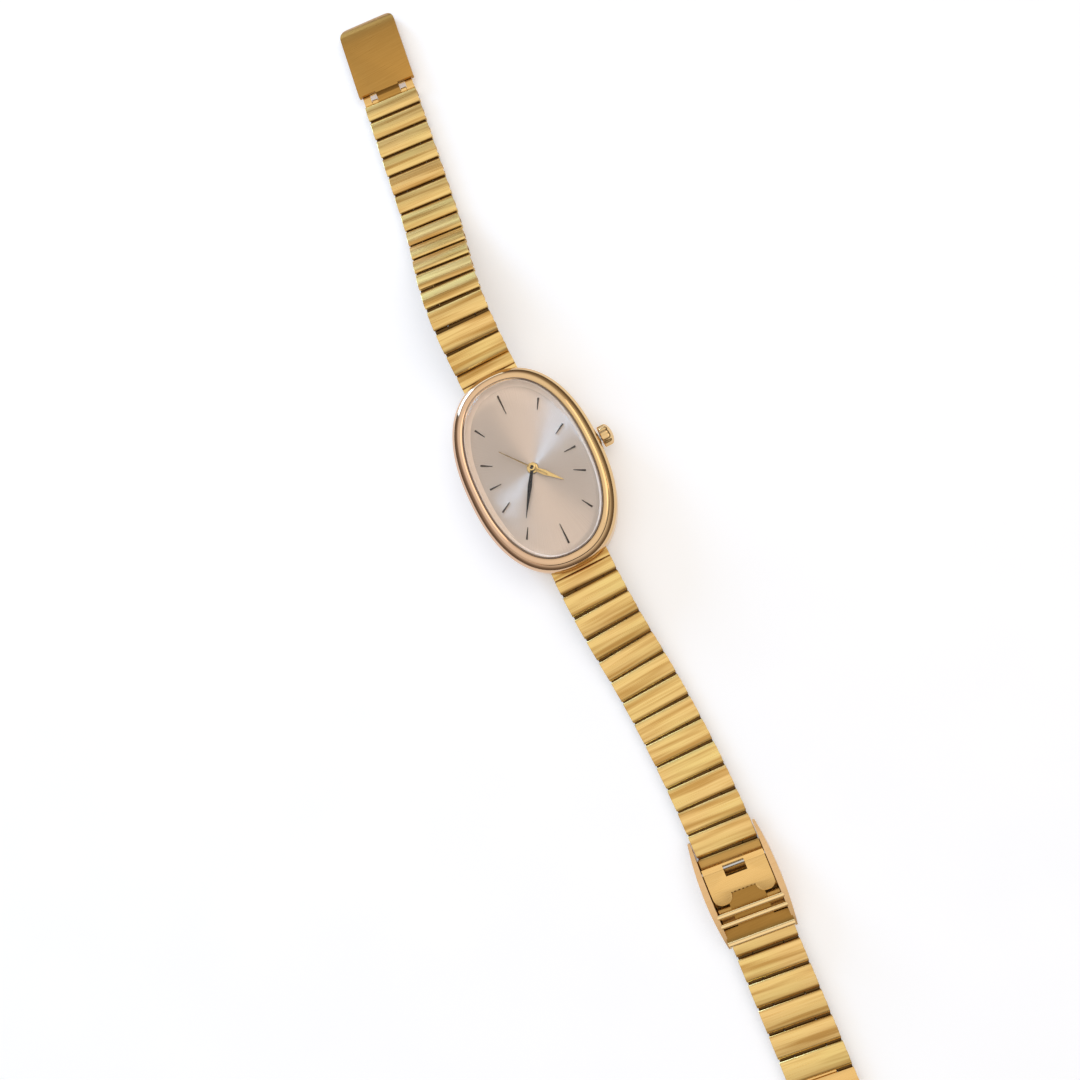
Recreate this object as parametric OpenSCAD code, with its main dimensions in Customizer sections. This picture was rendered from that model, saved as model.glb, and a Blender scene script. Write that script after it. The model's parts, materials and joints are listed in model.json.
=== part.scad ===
// Ladies' bracelet watch with an oval case, laid open on a table.
// The origin is on the case back, under the hands. +Y runs to 12 o'clock, +X to the crown, +Z is up.

/* [Case] */
// Width of the case across 3 and 9 o'clock
case_w = 21.4; // [20.6:0.1:24]
// Length of the case from 12 to 6 o'clock
case_l = 32.4; // [31.6:0.1:36]
// Height of the case rim above the table
case_h = 6.2; // [5.9:0.1:6.8]
// Power of the oval: 2 is an ellipse, more is squarer
oval_power = 2.3; // [2.1:0.1:2.8]
// Height of the lower edge of the case band
band_low_z = 0.5; // [0.3:0.1:0.7]
// How far the band draws in at its lower edge
band_draw_in = 1.1; // [0.8:0.1:1.3]
// Radius of the polished edge of the rim
rim_round = 0.75; // [0.5:0.05:0.85]
// Width of the case left outside the case back, at 3 and 9 o'clock
back_margin = 2; // [1.8:0.1:2.4]
// Length of the case left outside the case back, at 12 and 6 o'clock
back_margin_l = 3.5; // [3.4:0.1:3.9]
// Thickness of the case back
back_t = 1.15; // [0.9:0.05:1.2]
// Thickness of the flat gasket under the case back
back_gasket_t = 0.2; // [0.15:0.05:0.3]
// Width of the ledge that the gasket lies on
back_ledge = 0.4; // [0.3:0.05:0.6]

/* [Crystal and dial] */
// Width of the rim outside the bezel ring, at 3 and 9 o'clock
rim_w = 1; // [0.85:0.05:1.2]
// Width of the rim outside the bezel ring, at 12 and 6 o'clock
rim_l = 1; // [0.85:0.05:1.2]
// Thickness of the crystal
crystal_t = 1.2; // [0.9:0.1:1.6]
// Width of the bevel round the crystal
crystal_bevel = 0.55; // [0.3:0.05:0.8]
// Thickness of the crystal gasket
gasket_t = 0.2; // [0.15:0.05:0.25]
// Width of the bezel ring at 3 and 9 o'clock
bezel_wall_w = 0.8; // [0.5:0.05:0.9]
// Width of the bezel ring at 12 and 6 o'clock
bezel_wall_l = 0.95; // [0.6:0.05:1.1]
// How far the bezel ring stands above the case rim
bezel_rise = 0.4; // [0.2:0.05:0.6]
// Width of the dial ring at its foot
ring_foot = 0.6; // [0.5:0.05:0.8]
// Height of the dial's seat in the case
dial_seat_z = 4.75; // [4.7:0.05:4.9]
// Thickness of the dial
dial_t = 0.3; // [0.2:0.05:0.4]
// Height from the dial to the underside of the crystal
dial_depth = 1.05; // [0.95:0.05:1.2]
// Gap from the dial ring to the hour markers at 3 and 9 o'clock
marker_gap_w = 0.75; // [0.4:0.05:1.2]
// Gap from the dial ring to the circle of the hour markers at 12 and 6 o'clock
marker_gap_l = 0.4; // [0.2:0.05:0.6]
// Length of a short hour marker
marker_short = 1.85; // [1.2:0.05:2.2]
// Length of the markers at 12 and 6 o'clock
marker_long = 3.15; // [2.4:0.05:3.6]
// Width of a marker at its outer end
marker_w = 0.42; // [0.3:0.02:0.6]
// Height of a marker
marker_t = 0.15; // [0.1:0.01:0.18]

/* [Hands] */
// Length of the hour hand
hour_len = 5.1; // [3.5:0.1:6]
// Length of the minute hand
minute_len = 7.6; // [6.5:0.1:7.65]
// Length of the second hand
second_len = 5.6; // [4.5:0.1:7]
// Length of the second hand's tail
second_tail = 2.4; // [1.2:0.1:3]
// Width of the hour and minute hands
hand_w = 0.8; // [0.6:0.05:1]
// Thickness of a hand
hand_t = 0.12; // [0.08:0.01:0.14]
// Angle of the hour hand, clockwise from 12
hour_angle = 137.5; // [0:0.5:359.5]
// Angle of the minute hand, clockwise from 12
minute_angle = 212; // [0:1:359]
// Angle of the second hand, clockwise from 12
second_angle = 322; // [0:1:359]

/* [Movement] */
// Width of the movement holder beside the movement, at 3 and 9 o'clock
holder_wall = 1.8; // [1.7:0.05:2]
// Length of the movement
movement_l = 15.2; // [14.8:0.1:15.4]
// Height of the movement's lower face
movement_low_z = 1.6; // [1.5:0.05:1.7]
// Diameter of the battery
battery_d = 6.8; // [6.2:0.1:6.9]
// Thickness of the battery
battery_t = 2.1; // [1.6:0.05:2.15]
// Diameter of the motor coil
coil_d = 1.8; // [1.4:0.1:2]
// Length of the motor coil
coil_l = 8; // [6:0.2:9]

/* [Crown] */
// Diameter of the crown
crown_d = 3.4; // [2.6:0.1:3.8]
// Length of the crown
crown_len = 1.9; // [1.5:0.1:2.4]
// Number of grooves round the crown
crown_grooves = 12; // [8:1:26]
// Gap between the crown and the case
crown_gap = 0.3; // [0.2:0.05:0.6]
// How far the crown pulls out
crown_pull = 0.9; // [0.6:0.1:1.1]
// Diameter of the winding stem
stem_d = 0.92; // [0.8:0.02:1]
// Height of the stem above the table
stem_z = 3.2; // [3.1:0.05:3.3]

/* [Bracelet] */
// Width of the bracelet
strap_w = 9; // [8.6:0.1:9.2]
// Distance from pin to pin of a link
link_pitch = 3.5; // [3.4:0.05:3.8]
// Distance from the spring bar to the next pin
end_link_pitch = 4.6; // [4.3:0.05:4.8]
// Number of links on the cover's side, with the end link
upper_links = 16; // [16:1:16]
// Number of links from the case to the buckle, with the end link
lower_links = 13; // [13:1:13]
// Number of links that the sliding buckle runs on
buckle_run = 5; // [5:1:5]
// Number of links past the buckle's run
tail_links = 5; // [5:1:5]
// Distance of a spring bar from the end of the case
lug_in = 2; // [1.9:0.05:2.2]
// Height of a spring bar above the table
lug_z = 3.2; // [3.1:0.05:3.3]
// Diameter of a spring bar
spring_bar_d = 1.2; // [1:0.05:1.3]
// Diameter of a bracelet pin
pin_d = 0.56; // [0.5:0.02:0.6]
// Diameter of a link's barrel
barrel_d = 1.04; // [1:0.02:1.08]
// Width of a link's middle barrel
middle_barrel_w = 4.4; // [3.6:0.1:5]
// Gap between two links on top
groove_w = 0.34; // [0.34:0.02:0.4]
// Height of a link's top edges above its pins
edge_z = 0.75; // [0.74:0.01:0.8]
// How far a link's top rises above its edges
link_crest = 0.28; // [0.2:0.02:0.34]
// Depth of a link below its pins
link_belly = 0.62; // [0.56:0.02:0.64]
// Thickness of the folded sheet
sheet_t = 0.2; // [0.16:0.02:0.22]

/* [Cover] */
// Width of the cover plate
cover_w = 9.7; // [9.4:0.1:10]
// Length of the cover plate from its pin
cover_l = 15; // [13:0.1:17]
// Thickness of the cover plate
cover_t = 0.4; // [0.3:0.05:0.5]
// Radius of the cover plate's free corners
cover_corner = 2.2; // [1:0.1:3]
// Length of the bend at the cover plate's free end
cover_bend = 4; // [2:0.1:5]
// Length of the hook leaf from its pin
leaf_l = 11.5; // [9:0.1:12]
// Width of the hook leaf
leaf_w = 6.8; // [6.6:0.1:7]
// Thickness of the hook leaf
leaf_t = 0.3; // [0.25:0.05:0.35]

/* [Buckle] */
// Length of the sliding buckle
buckle_l = 14.8; // [14.4:0.1:15]
// Thickness of a side rail at its ends
rail_t = 0.35; // [0.3:0.05:0.5]
// How far the rails bow outward between their ends
rail_bow = 0.55; // [0:0.05:0.7]
// Height of the rails above the pins at their ends
rail_end_z = 1.25; // [1.2:0.05:1.4]
// How far the rails arch up between their ends
rail_arch = 1.4; // [1.2:0.05:1.5]
// Thickness of the plate under the bracelet
floor_t = 0.3; // [0.25:0.05:0.4]
// Distance of the lock plate's pin from the buckle's upper end
lock_pin_y = 4.5; // [4.3:0.1:4.7]
// Diameter of the lock plate's pin
lock_pin_d = 0.5; // [0.4:0.05:0.6]
// Length of the lock plate from its pin
lock_l = 4.7; // [4.4:0.1:4.9]
// Thickness of the lock plate
lock_t = 0.3; // [0.25:0.05:0.35]
// Width of the slot in the lock plate
slot_w = 3.1; // [2.6:0.1:4]
// Length of the slot in the lock plate
slot_l = 1.5; // [1.2:0.1:1.7]
// Diameter of the hook bar
hook_bar_d = 0.8; // [0.7:0.05:0.9]
// Distance of the hook bar from the buckle's upper end
hook_bar_y = 10.35; // [10.2:0.05:10.5]

/* [Lie] */
// Height of the pins where the bracelet lies on the table
lie_z = 0.66; // [0.66:0.01:0.8]
// Height that the upper half arches up by
arch_h = 6; // [0:0.5:7]
// Number of links up to the top of the arch
arch_rise = 4; // [4:1:5]
// Number of links from the top of the arch down to the table
arch_fall = 6; // [5:1:8]
// Number of links over which a half comes down from its spring bar
lug_fall = 6; // [5:1:8]
// Sideways lean of the upper half, which its side play allows
upper_lean = -7; // [-7:0.5:0]
// Sideways lean of the lower half near the case
lower_lean = 5; // [0:0.5:5]
// Turn back of the lower half past its lean
lower_sweep = -9; // [-9:0.5:0]

/* [Fits] */
// Radial clearance of a piece that turns
run_clear = 0.08; // [0.05:0.01:0.1]
// Radial clearance of a piece that is pressed in
press_clear = 0.01; // [0.01:0.005:0.02]
// Side clearance between barrels
side_clear = 0.12; // [0.1:0.01:0.15]
// Clearance between the case and a piece seated in it
seat_clear = 0.05; // [0.03:0.01:0.08]
// Clearance between the bracelet and the buckle
slide_clear = 0.13; // [0.1:0.01:0.2]

/* [Hidden] */
$fn = 32;
oval_steps = 64;
tiny = 0.01;
cut_h = 20;

upper_names = [for (i = [1:upper_links]) str("upper_link_", i)];
lower_names = [for (i = [1:lower_links]) str("lower_link_", i)];
tail_names = [for (i = [1:tail_links]) str("tail_link_", i)];

// Levels and openings of the case
back_seat_z = back_t + back_gasket_t;
dial_top_z = dial_seat_z + dial_t;
crystal_low_z = dial_top_z + dial_depth;
dial_inset = 0.25;
bezel_w = case_w - 2 * rim_w;
bezel_l = case_l - 2 * rim_l;
crystal_bore_w = bezel_w - 2 * bezel_wall_w;
crystal_bore_l = bezel_l - 2 * bezel_wall_l;
crystal_w = crystal_bore_w - 2 * gasket_t;
crystal_l = crystal_bore_l - 2 * gasket_t;
back_w = case_w - 2 * back_margin;
back_l = case_l - 2 * back_margin_l;
lug_y = case_l / 2 - lug_in;
bezel_seat_z = 5.25;
bezel_top_z = case_h + bezel_rise;
belly_z = 3.4;
shoulder_z = 4.9;
dial_w = crystal_w - 2 * dial_inset;
dial_l = crystal_l - 2 * dial_inset;
dial_open_w = dial_w - 2 * ring_foot;
dial_open_l = dial_l - 2 * ring_foot;
marker_ring_w = dial_open_w - 2 * marker_gap_w;
marker_ring_l = dial_open_l - 2 * marker_gap_l;
cavity_w = back_w - 2 * back_ledge;
cavity_l = back_l - 4 * back_ledge;
movement_w = cavity_w - 2 * holder_wall;

// Tubes of the hands, from the middle out
second_arbor_r = 0.2;
cannon_bore_r = second_arbor_r + run_clear;
cannon_r = 0.5;
hour_bore_r = cannon_r + run_clear;
hour_pipe_r = 0.82;
centre_hole_r = hour_pipe_r + run_clear;
hand_step = 0.25;
hour_z = dial_top_z + 0.2;
minute_z = hour_z + hand_step;
second_z = minute_z + hand_step;

// Crown and stem
tube_bore_r = stem_d / 2 + run_clear;
tube_r = tube_bore_r + 0.35;
tube_end_x = case_w / 2 + crown_gap / 3;
tube_start_x = movement_w / 2 + 1;
crown_x = case_w / 2 + crown_gap;
clutch_x = movement_w / 2 - 2.3;
clutch_len = 1.3;
clutch_r = 1;
stem_square = 0.5;

// Notch in the case for an end link
end_tube_r = 0.9;
notch_w = strap_w + 2 * side_clear;
notch_in_y = lug_y - end_tube_r - slide_clear;
hood_clear = 1;
hood_angle = 20;
ear_bore_depth = 0.6;
bar_end_r = spring_bar_d / 2 - 0.2;

// Section of a link
pin_r = pin_d / 2;
barrel_r = barrel_d / 2;
pin_bore_r = pin_r + run_clear;
body_set = barrel_r + 0.23;
outer_barrel_x = middle_barrel_w / 2 + side_clear;
web_t = 0.5;

// Knuckles at the cover's pin, from the middle out
cover_barrel_w = 4;
last_barrel_w = 0.9;
last_barrel_x = cover_barrel_w / 2 + side_clear;
leaf_barrel_x = last_barrel_x + last_barrel_w + side_clear;
leaf_barrel_w = strap_w / 2 - side_clear - leaf_barrel_x;

// Buckle
tunnel_w = strap_w + 2 * slide_clear;
tunnel_top_z = edge_z + link_crest + slide_clear;
buckle_w = tunnel_w + 2 * rail_t;
buckle_low_z = -link_belly - slide_clear - floor_t;
buckle_start_y = -2.4;
floor_start_y = 2.9;
lock_pin_z = tunnel_top_z + lock_pin_d / 2 + 0.45;
tongue_t = 0.2;
tongue_z = tunnel_top_z + tongue_t;
buckle_lift = -buckle_low_z - lie_z + 0.03;

// Places along the bracelet. A half is a chain of pins whose heights follow a curve.
function ease(t) = let (u = min(max(t, 0), 1)) u * u * (3 - 2 * u);
function swell(i) = let (u = i < arch_rise ? i / arch_rise : 1 - (i - arch_rise) / arch_fall)
    (1 - cos(180 * min(max(u, 0), 1))) / 2;
function upper_z(i) = lie_z + (lug_z - lie_z) * (1 - ease(i / (lug_fall - 1))) + arch_h * swell(i);
function lower_z(i) = lie_z + (lug_z - lie_z) * (1 - ease(i / lug_fall))
    + buckle_lift * (ease((i - lower_links + 5) / 4) - ease((i - lower_links - buckle_run) / 4));
function upper_turn(i) = upper_lean * min((i - 1) / 5, 1);
function lower_turn(i) = lower_lean * min((i - 1) / 4, 1)
    + lower_sweep * min(max((i - 5) / 9, 0), 1);
function pitch_of(i) = i == 1 ? end_link_pitch : link_pitch;
function fall_of(drop, pitch) = asin(min(max(drop / pitch, -0.9), 0.9));

// Fall angle of each link, and the table position of each pin, from the spring bar out
upper_count = upper_links;
lower_count = lower_links + buckle_run + tail_links;
upper_falls = [for (i = [1:upper_count]) fall_of(upper_z(i - 1) - upper_z(i), pitch_of(i))];
lower_falls = [for (i = [1:lower_count])
    i > lower_links && i <= lower_links + buckle_run ? 0
    : fall_of(lower_z(i - 1) - lower_z(i), pitch_of(i))];
upper_turns = [for (i = [1:upper_count]) upper_turn(i)];
lower_turns = [for (i = [1:lower_count])
    lower_turn(i > lower_links && i <= lower_links + buckle_run ? lower_links + 1 : i)];

function step(falls, turns, i) =
    let (reach = pitch_of(i) * cos(falls[i - 1]), turn = turns[i - 1])
    [-sin(turn) * reach, cos(turn) * reach, -pitch_of(i) * sin(falls[i - 1])];
function pin_at(falls, turns, i) =
    i == 0 ? [0, lug_y, lug_z] : pin_at(falls, turns, i - 1) + step(falls, turns, i);

upper_pins = [for (i = [0:upper_count]) pin_at(upper_falls, upper_turns, i)];
lower_pins = [for (i = [0:lower_count]) pin_at(lower_falls, lower_turns, i)];

// General shapes
function bend_power(v, p) = sign(v) * pow(abs(v), p);
function oval(w, l) = [for (k = [0:oval_steps - 1])
    let (a = 360 * k / oval_steps, p = 2 / oval_power)
    [w / 2 * bend_power(cos(a), p), l / 2 * bend_power(sin(a), p)]];
function oval_radius(w, l, a) = pow(
    pow(abs(2 * sin(a) / w), oval_power) + pow(abs(2 * cos(a) / l), oval_power), -1 / oval_power);

function arc(x, y, r, from) = [for (a = [from:15:from + 90]) [x + r * cos(a), y + r * sin(a)]];

module oval_plate(w, l, low_z, high_z) {
    translate([0, 0, low_z])
        linear_extrude(high_z - low_z) polygon(oval(w, l));
}

// A solid through a stack of ovals, each given as width, length and height
module oval_loft(stack) {
    n = oval_steps;
    m = len(stack);
    points = [for (s = stack) for (q = oval(s[0], s[1])) [q[0], q[1], s[2]]];
    low = [for (k = [0:n - 1]) k];
    high = [for (k = [n - 1:-1:0]) (m - 1) * n + k];
    sides = [for (j = [0:m - 2]) for (k = [0:n - 1])
        let (a = j * n + k, b = j * n + (k + 1) % n)
        each [[a, b + n, b], [a, a + n, b + n]]];
    polyhedron(points, concat([low, high], sides));
}

// A profile in Y and Z, drawn out along X about the middle
module across(width) {
    rotate([90, 0, 90])
        linear_extrude(width, center = true) children();
}

// A round bar along X between two places
module bar(x0, x1, r) {
    translate([x0, 0, 0]) rotate([0, 90, 0]) cylinder(h = x1 - x0, r = r);
}

module both_sides() {
    children();
    mirror([1, 0, 0]) children();
}

module rounded_plate(w, l, r) {
    offset(r) square([w - 2 * r, l - 2 * r], center = true);
}

// Head of the watch
function band_stack() = concat(
    [for (a = [0:22.5:90]) let (inset = band_draw_in * (1 - sin(a)))
        [case_w - 2 * inset, case_l - 2 * inset, belly_z - (belly_z - band_low_z) * cos(a)]],
    [for (a = [0:22.5:90]) let (inset = rim_round * (1 - cos(a)))
        [case_w - 2 * inset, case_l - 2 * inset, shoulder_z + (case_h - shoulder_z) * sin(a)]]);

module notch() {
    reach = lug_in + 1;
    translate([-notch_w / 2, notch_in_y, -1])
        cube([notch_w, reach + lug_y - notch_in_y, lug_z + 1]);
    translate([0, lug_y, lug_z]) bar(-notch_w / 2, notch_w / 2, end_tube_r + slide_clear);
    translate([-notch_w / 2, lug_y, lug_z]) rotate([hood_angle, 0, 0])
        translate([0, 0, -2]) cube([notch_w, reach + 1, 2 + hood_clear]);
    translate([0, lug_y, lug_z])
        bar(-notch_w / 2 - ear_bore_depth, notch_w / 2 + ear_bore_depth, bar_end_r + press_clear);
}

module case() {
    color("#d8b98c") difference() {
        oval_loft(band_stack());
        oval_plate(back_w + 2 * seat_clear, back_l + 2 * seat_clear, -1, back_seat_z);
        oval_plate(cavity_w, cavity_l, back_seat_z - tiny, dial_seat_z + tiny);
        oval_plate(dial_w + 2 * seat_clear, dial_l + 2 * seat_clear, dial_seat_z, bezel_seat_z + tiny);
        oval_plate(bezel_w + 2 * seat_clear, bezel_l + 2 * seat_clear, bezel_seat_z, case_h + 1);
        notch();
        rotate([0, 0, 180]) notch();
        translate([0, 0, stem_z]) bar(0, case_w, tube_r + press_clear);
    }
}

module bezel_ring() {
    color("#e2c296") difference() {
        oval_loft([
            [bezel_w, bezel_l, bezel_seat_z],
            [bezel_w, bezel_l, bezel_top_z - 0.35],
            [bezel_w - 0.1, bezel_l - 0.3, bezel_top_z - 0.15],
            [bezel_w - 0.4, bezel_l - 0.9, bezel_top_z]]);
        oval_plate(crystal_bore_w, crystal_bore_l, bezel_seat_z - 1, bezel_top_z + 1);
    }
}

module case_back() {
    color("silver") oval_loft([
        [back_w - 1.2, back_l - 1.2, 0],
        [back_w, back_l, 0.45],
        [back_w, back_l, back_t]]);
}

module back_gasket() {
    color("#202020") difference() {
        oval_plate(back_w - 0.1, back_l - 0.1, back_t, back_seat_z);
        oval_plate(cavity_w + 0.1, cavity_l + 0.1, 0, back_seat_z + 1);
    }
}

module crystal() {
    top = crystal_low_z + crystal_t;
    color([0.85, 0.92, 0.95, 0.3]) oval_loft([
        [crystal_w, crystal_l, crystal_low_z],
        [crystal_w, crystal_l, top - crystal_bevel],
        [crystal_w - 2 * crystal_bevel, crystal_l - 2 * crystal_bevel, top - 0.12],
        [crystal_w - 3 * crystal_bevel, crystal_l - 3 * crystal_bevel, top]]);
}

module crystal_gasket() {
    color([0.9, 0.9, 0.9, 0.6]) difference() {
        oval_plate(crystal_bore_w - tiny, crystal_bore_l - tiny, crystal_low_z, bezel_top_z - 0.1);
        oval_plate(crystal_w + tiny, crystal_l + tiny, 0, bezel_top_z + 1);
    }
}

module dial_ring() {
    color("#e8c8b0") difference() {
        oval_plate(dial_w, dial_l, dial_top_z, crystal_low_z);
        oval_loft([
            [dial_open_w - 0.2, dial_open_l - 0.2, dial_top_z - 0.1],
            [dial_w - 0.2, dial_l - 0.2, crystal_low_z + 0.05]]);
    }
}

module dial() {
    color("#d6d3cc") difference() {
        oval_plate(dial_w, dial_l, dial_seat_z, dial_top_z);
        cylinder(h = cut_h, r = centre_hole_r);
    }
}

module hour_marker(hour) {
    long = hour % 6 == 0;
    length = long ? marker_long : marker_short;
    outer = oval_radius(marker_ring_w, marker_ring_l, 30 * hour) - (long ? 0.3 : 0);
    rotate([0, 0, -30 * hour]) translate([0, outer, dial_top_z])
        linear_extrude(marker_t)
            polygon([[-marker_w / 2, 0], [marker_w / 2, 0], [marker_w / 4, -length], [-marker_w / 4, -length]]);
}

module hour_markers() {
    color("#4a4038") for (hour = [0:11]) hour_marker(hour);
}

module hand_blade(length, width, low_z) {
    translate([0, 0, low_z]) linear_extrude(hand_t)
        polygon([[0, 0], [width / 2, length * 0.35], [0, length], [-width / 2, length * 0.35]]);
}

module hand_tube(r, bore, low_z, high_z) {
    translate([0, 0, low_z]) difference() {
        cylinder(h = high_z - low_z, r = r);
        translate([0, 0, -1]) cylinder(h = high_z - low_z + 2, r = bore);
    }
}

module hour_hand() {
    color("#d4a44a") difference() {
        union() {
            rotate([0, 0, -hour_angle]) hand_blade(hour_len, hand_w, hour_z);
            translate([0, 0, hour_z - 0.6]) cylinder(h = hand_t + 0.6, r = hour_pipe_r);
        }
        cylinder(h = cut_h, r = hour_bore_r);
    }
}

module minute_hand() {
    color("#d4a44a") difference() {
        union() {
            rotate([0, 0, -minute_angle]) hand_blade(minute_len, hand_w * 0.85, minute_z);
            translate([0, 0, hour_z - 1]) cylinder(h = minute_z + hand_t - hour_z + 1, r = cannon_r);
        }
        cylinder(h = cut_h, r = cannon_bore_r);
    }
}

module second_hand() {
    color("#d4a44a") {
        rotate([0, 0, -second_angle]) translate([0, 0, second_z]) linear_extrude(hand_t)
            polygon([[-0.12, -second_tail], [0.12, -second_tail], [0.04, second_len], [-0.04, second_len]]);
        translate([0, 0, second_z]) cylinder(h = hand_t, r = cannon_r);
        translate([0, 0, hour_z - 1.2]) cylinder(h = second_z - hour_z + 1.2, r = second_arbor_r);
    }
}

// Movement
battery_x = -(movement_w - battery_d) / 2 + 0.4;
battery_y = -3.9;
coil_y = 5.8;
pocket_top_z = movement_low_z + battery_t;

module movement_plate() {
    color("#c9b27c") difference() {
        translate([0, 0, movement_low_z])
            linear_extrude(dial_seat_z - movement_low_z) rounded_plate(movement_w, movement_l, 2);
        translate([0, 0, pocket_top_z - 0.2]) cylinder(h = cut_h, r = centre_hole_r);
        translate([battery_x, battery_y, -1]) cylinder(h = pocket_top_z + 1, r = battery_d / 2 + seat_clear);
        translate([-coil_l / 2 - 0.8, coil_y - coil_d / 2 - 0.1, -1])
            cube([coil_l + 1.6, coil_d + 0.2, pocket_top_z + 1]);
        translate([0, 0, stem_z]) bar(clutch_x - 1.6, case_w, tube_bore_r);
        translate([0, 0, stem_z]) bar(clutch_x - 0.1, clutch_x + clutch_len + 0.1, clutch_r + run_clear);
    }
}

module movement_holder() {
    color("#e9e4d8") difference() {
        oval_plate(cavity_w - 2 * seat_clear, cavity_l - 2 * seat_clear, back_seat_z, dial_seat_z);
        translate([0, 0, -1]) linear_extrude(cut_h)
            rounded_plate(movement_w + 2 * seat_clear, movement_l + 2 * seat_clear, 2 + seat_clear);
        translate([0, 0, stem_z]) bar(0, case_w, tube_r + 0.1);
    }
}

module battery() {
    color("silver") translate([battery_x, battery_y, movement_low_z]) {
        cylinder(h = battery_t * 0.75, r = battery_d / 2);
        cylinder(h = battery_t, r = battery_d / 2 - 0.5);
    }
}

module motor_coil() {
    color("#b5622a") translate([0, coil_y, pocket_top_z - coil_d / 2])
        bar(-coil_l / 2, coil_l / 2, coil_d / 2);
    color("silver") both_sides() translate([coil_l / 2 - tiny, coil_y - 0.6, pocket_top_z - 1.2])
        cube([0.7, 1.2, 1.2]);
}

module winding_stem() {
    color("silver") translate([0, 0, stem_z]) {
        bar(clutch_x + clutch_len + crown_pull + 0.2, crown_x + crown_len / 2, stem_d / 2);
        rotate([45, 0, 0]) translate([clutch_x - 1, -stem_square / 2, -stem_square / 2])
            cube([clutch_len + crown_pull + 1.4, stem_square, stem_square]);
    }
}

module clutch_pinion() {
    hole = stem_square + 2 * run_clear;
    color("silver") translate([0, 0, stem_z]) difference() {
        bar(clutch_x, clutch_x + clutch_len, clutch_r);
        rotate([45, 0, 0]) translate([clutch_x - 1, -hole / 2, -hole / 2]) cube([clutch_len + 2, hole, hole]);
    }
}

module stem_tube() {
    color("silver") translate([0, 0, stem_z]) difference() {
        bar(tube_start_x, tube_end_x, tube_r);
        bar(0, case_w, tube_bore_r);
    }
}

// The crown is a fluted drum whose outer end is domed
module crown() {
    teeth = 2 * crown_grooves;
    ring = [for (k = [0:teeth - 1]) let (r = crown_d / 2 - (k % 2) * 0.12, a = 360 * k / teeth)
        [r * cos(a), r * sin(a)]];
    dome = crown_len * 0.45;
    color("#d8b070") translate([crown_x, 0, stem_z]) rotate([0, 90, 0]) difference() {
        intersection() {
            linear_extrude(crown_len) polygon(ring);
            rotate_extrude() polygon(concat(
                [[0, 0], [crown_d / 2 - 0.15, 0], [crown_d / 2, 0.15]],
                [for (a = [0:15:90]) [crown_d / 2 * cos(a), crown_len - dome + dome * sin(a)]]));
        }
        translate([0, 0, -1]) cylinder(h = 1 + crown_len / 2 + tiny, r = stem_d / 2 + press_clear);
    }
}

module spring_bar() {
    translate([0, lug_y, lug_z]) {
        bar(-strap_w / 2 + 0.3, strap_w / 2 - 0.3, spring_bar_d / 2);
        bar(-notch_w / 2 - ear_bore_depth + 0.1, notch_w / 2 + ear_bore_depth - 0.1, bar_end_r);
    }
}

module spring_bars() {
    color("silver") {
        spring_bar();
        mirror([0, 1, 0]) spring_bar();
    }
}

// Bracelet. A link runs along +Y from its inner pin at the origin to its outer pin.
// The top of a link is highest a third of the way along.
function link_top(from, to) = [for (i = [0:8]) let (u = i / 8)
    [from + (to - from) * u, edge_z + link_crest * sin(180 * pow(u, 0.63))]];

module link_section(pitch, lip = true) {
    inner = groove_w / 2;
    outer = pitch - (lip ? groove_w / 2 : body_set - tiny);
    under = edge_z - sheet_t;
    difference() {
        polygon(concat(link_top(inner, outer), [
            [outer, under],
            [pitch - body_set, under],
            [pitch - body_set, -link_belly],
            [body_set, -link_belly],
            [body_set, under],
            [inner, under]]));
        translate([body_set + sheet_t, -link_belly + sheet_t])
            square([pitch - 2 * (body_set + sheet_t), link_belly + under - sheet_t]);
        translate([pitch / 2 - 0.25, -link_belly - 1]) square([0.5, 2]);
    }
}

// A barrel between two places along X, with the web that joins it to its link's body
module knuckle(x0, x1, reach) {
    bar(x0, x1, barrel_r);
    translate([x0, min(0, reach), -web_t / 2]) cube([x1 - x0, abs(reach), web_t]);
}

module middle_knuckle() {
    knuckle(-middle_barrel_w / 2, middle_barrel_w / 2, body_set + sheet_t / 2);
}

module outer_knuckles(pitch, from = outer_barrel_x, to = strap_w / 2 - side_clear) {
    translate([0, pitch, 0]) both_sides() knuckle(from, to, -body_set - sheet_t / 2);
}

module link_bores(pitch) {
    bar(-strap_w, strap_w, pin_bore_r);
    translate([0, pitch, 0]) bar(-strap_w, strap_w, pin_r + press_clear);
}

module link_pin(pitch) {
    translate([0, pitch, 0]) bar(-strap_w / 2 + 0.2, strap_w / 2 - 0.2, pin_r);
}

module link(last = false) {
    color("#e0b040") {
        difference() {
            union() {
                across(strap_w) link_section(link_pitch, !last);
                middle_knuckle();
                if (last) outer_knuckles(link_pitch, last_barrel_x, last_barrel_x + last_barrel_w);
                else outer_knuckles(link_pitch);
            }
            link_bores(link_pitch);
        }
        link_pin(link_pitch);
    }
}

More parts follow.
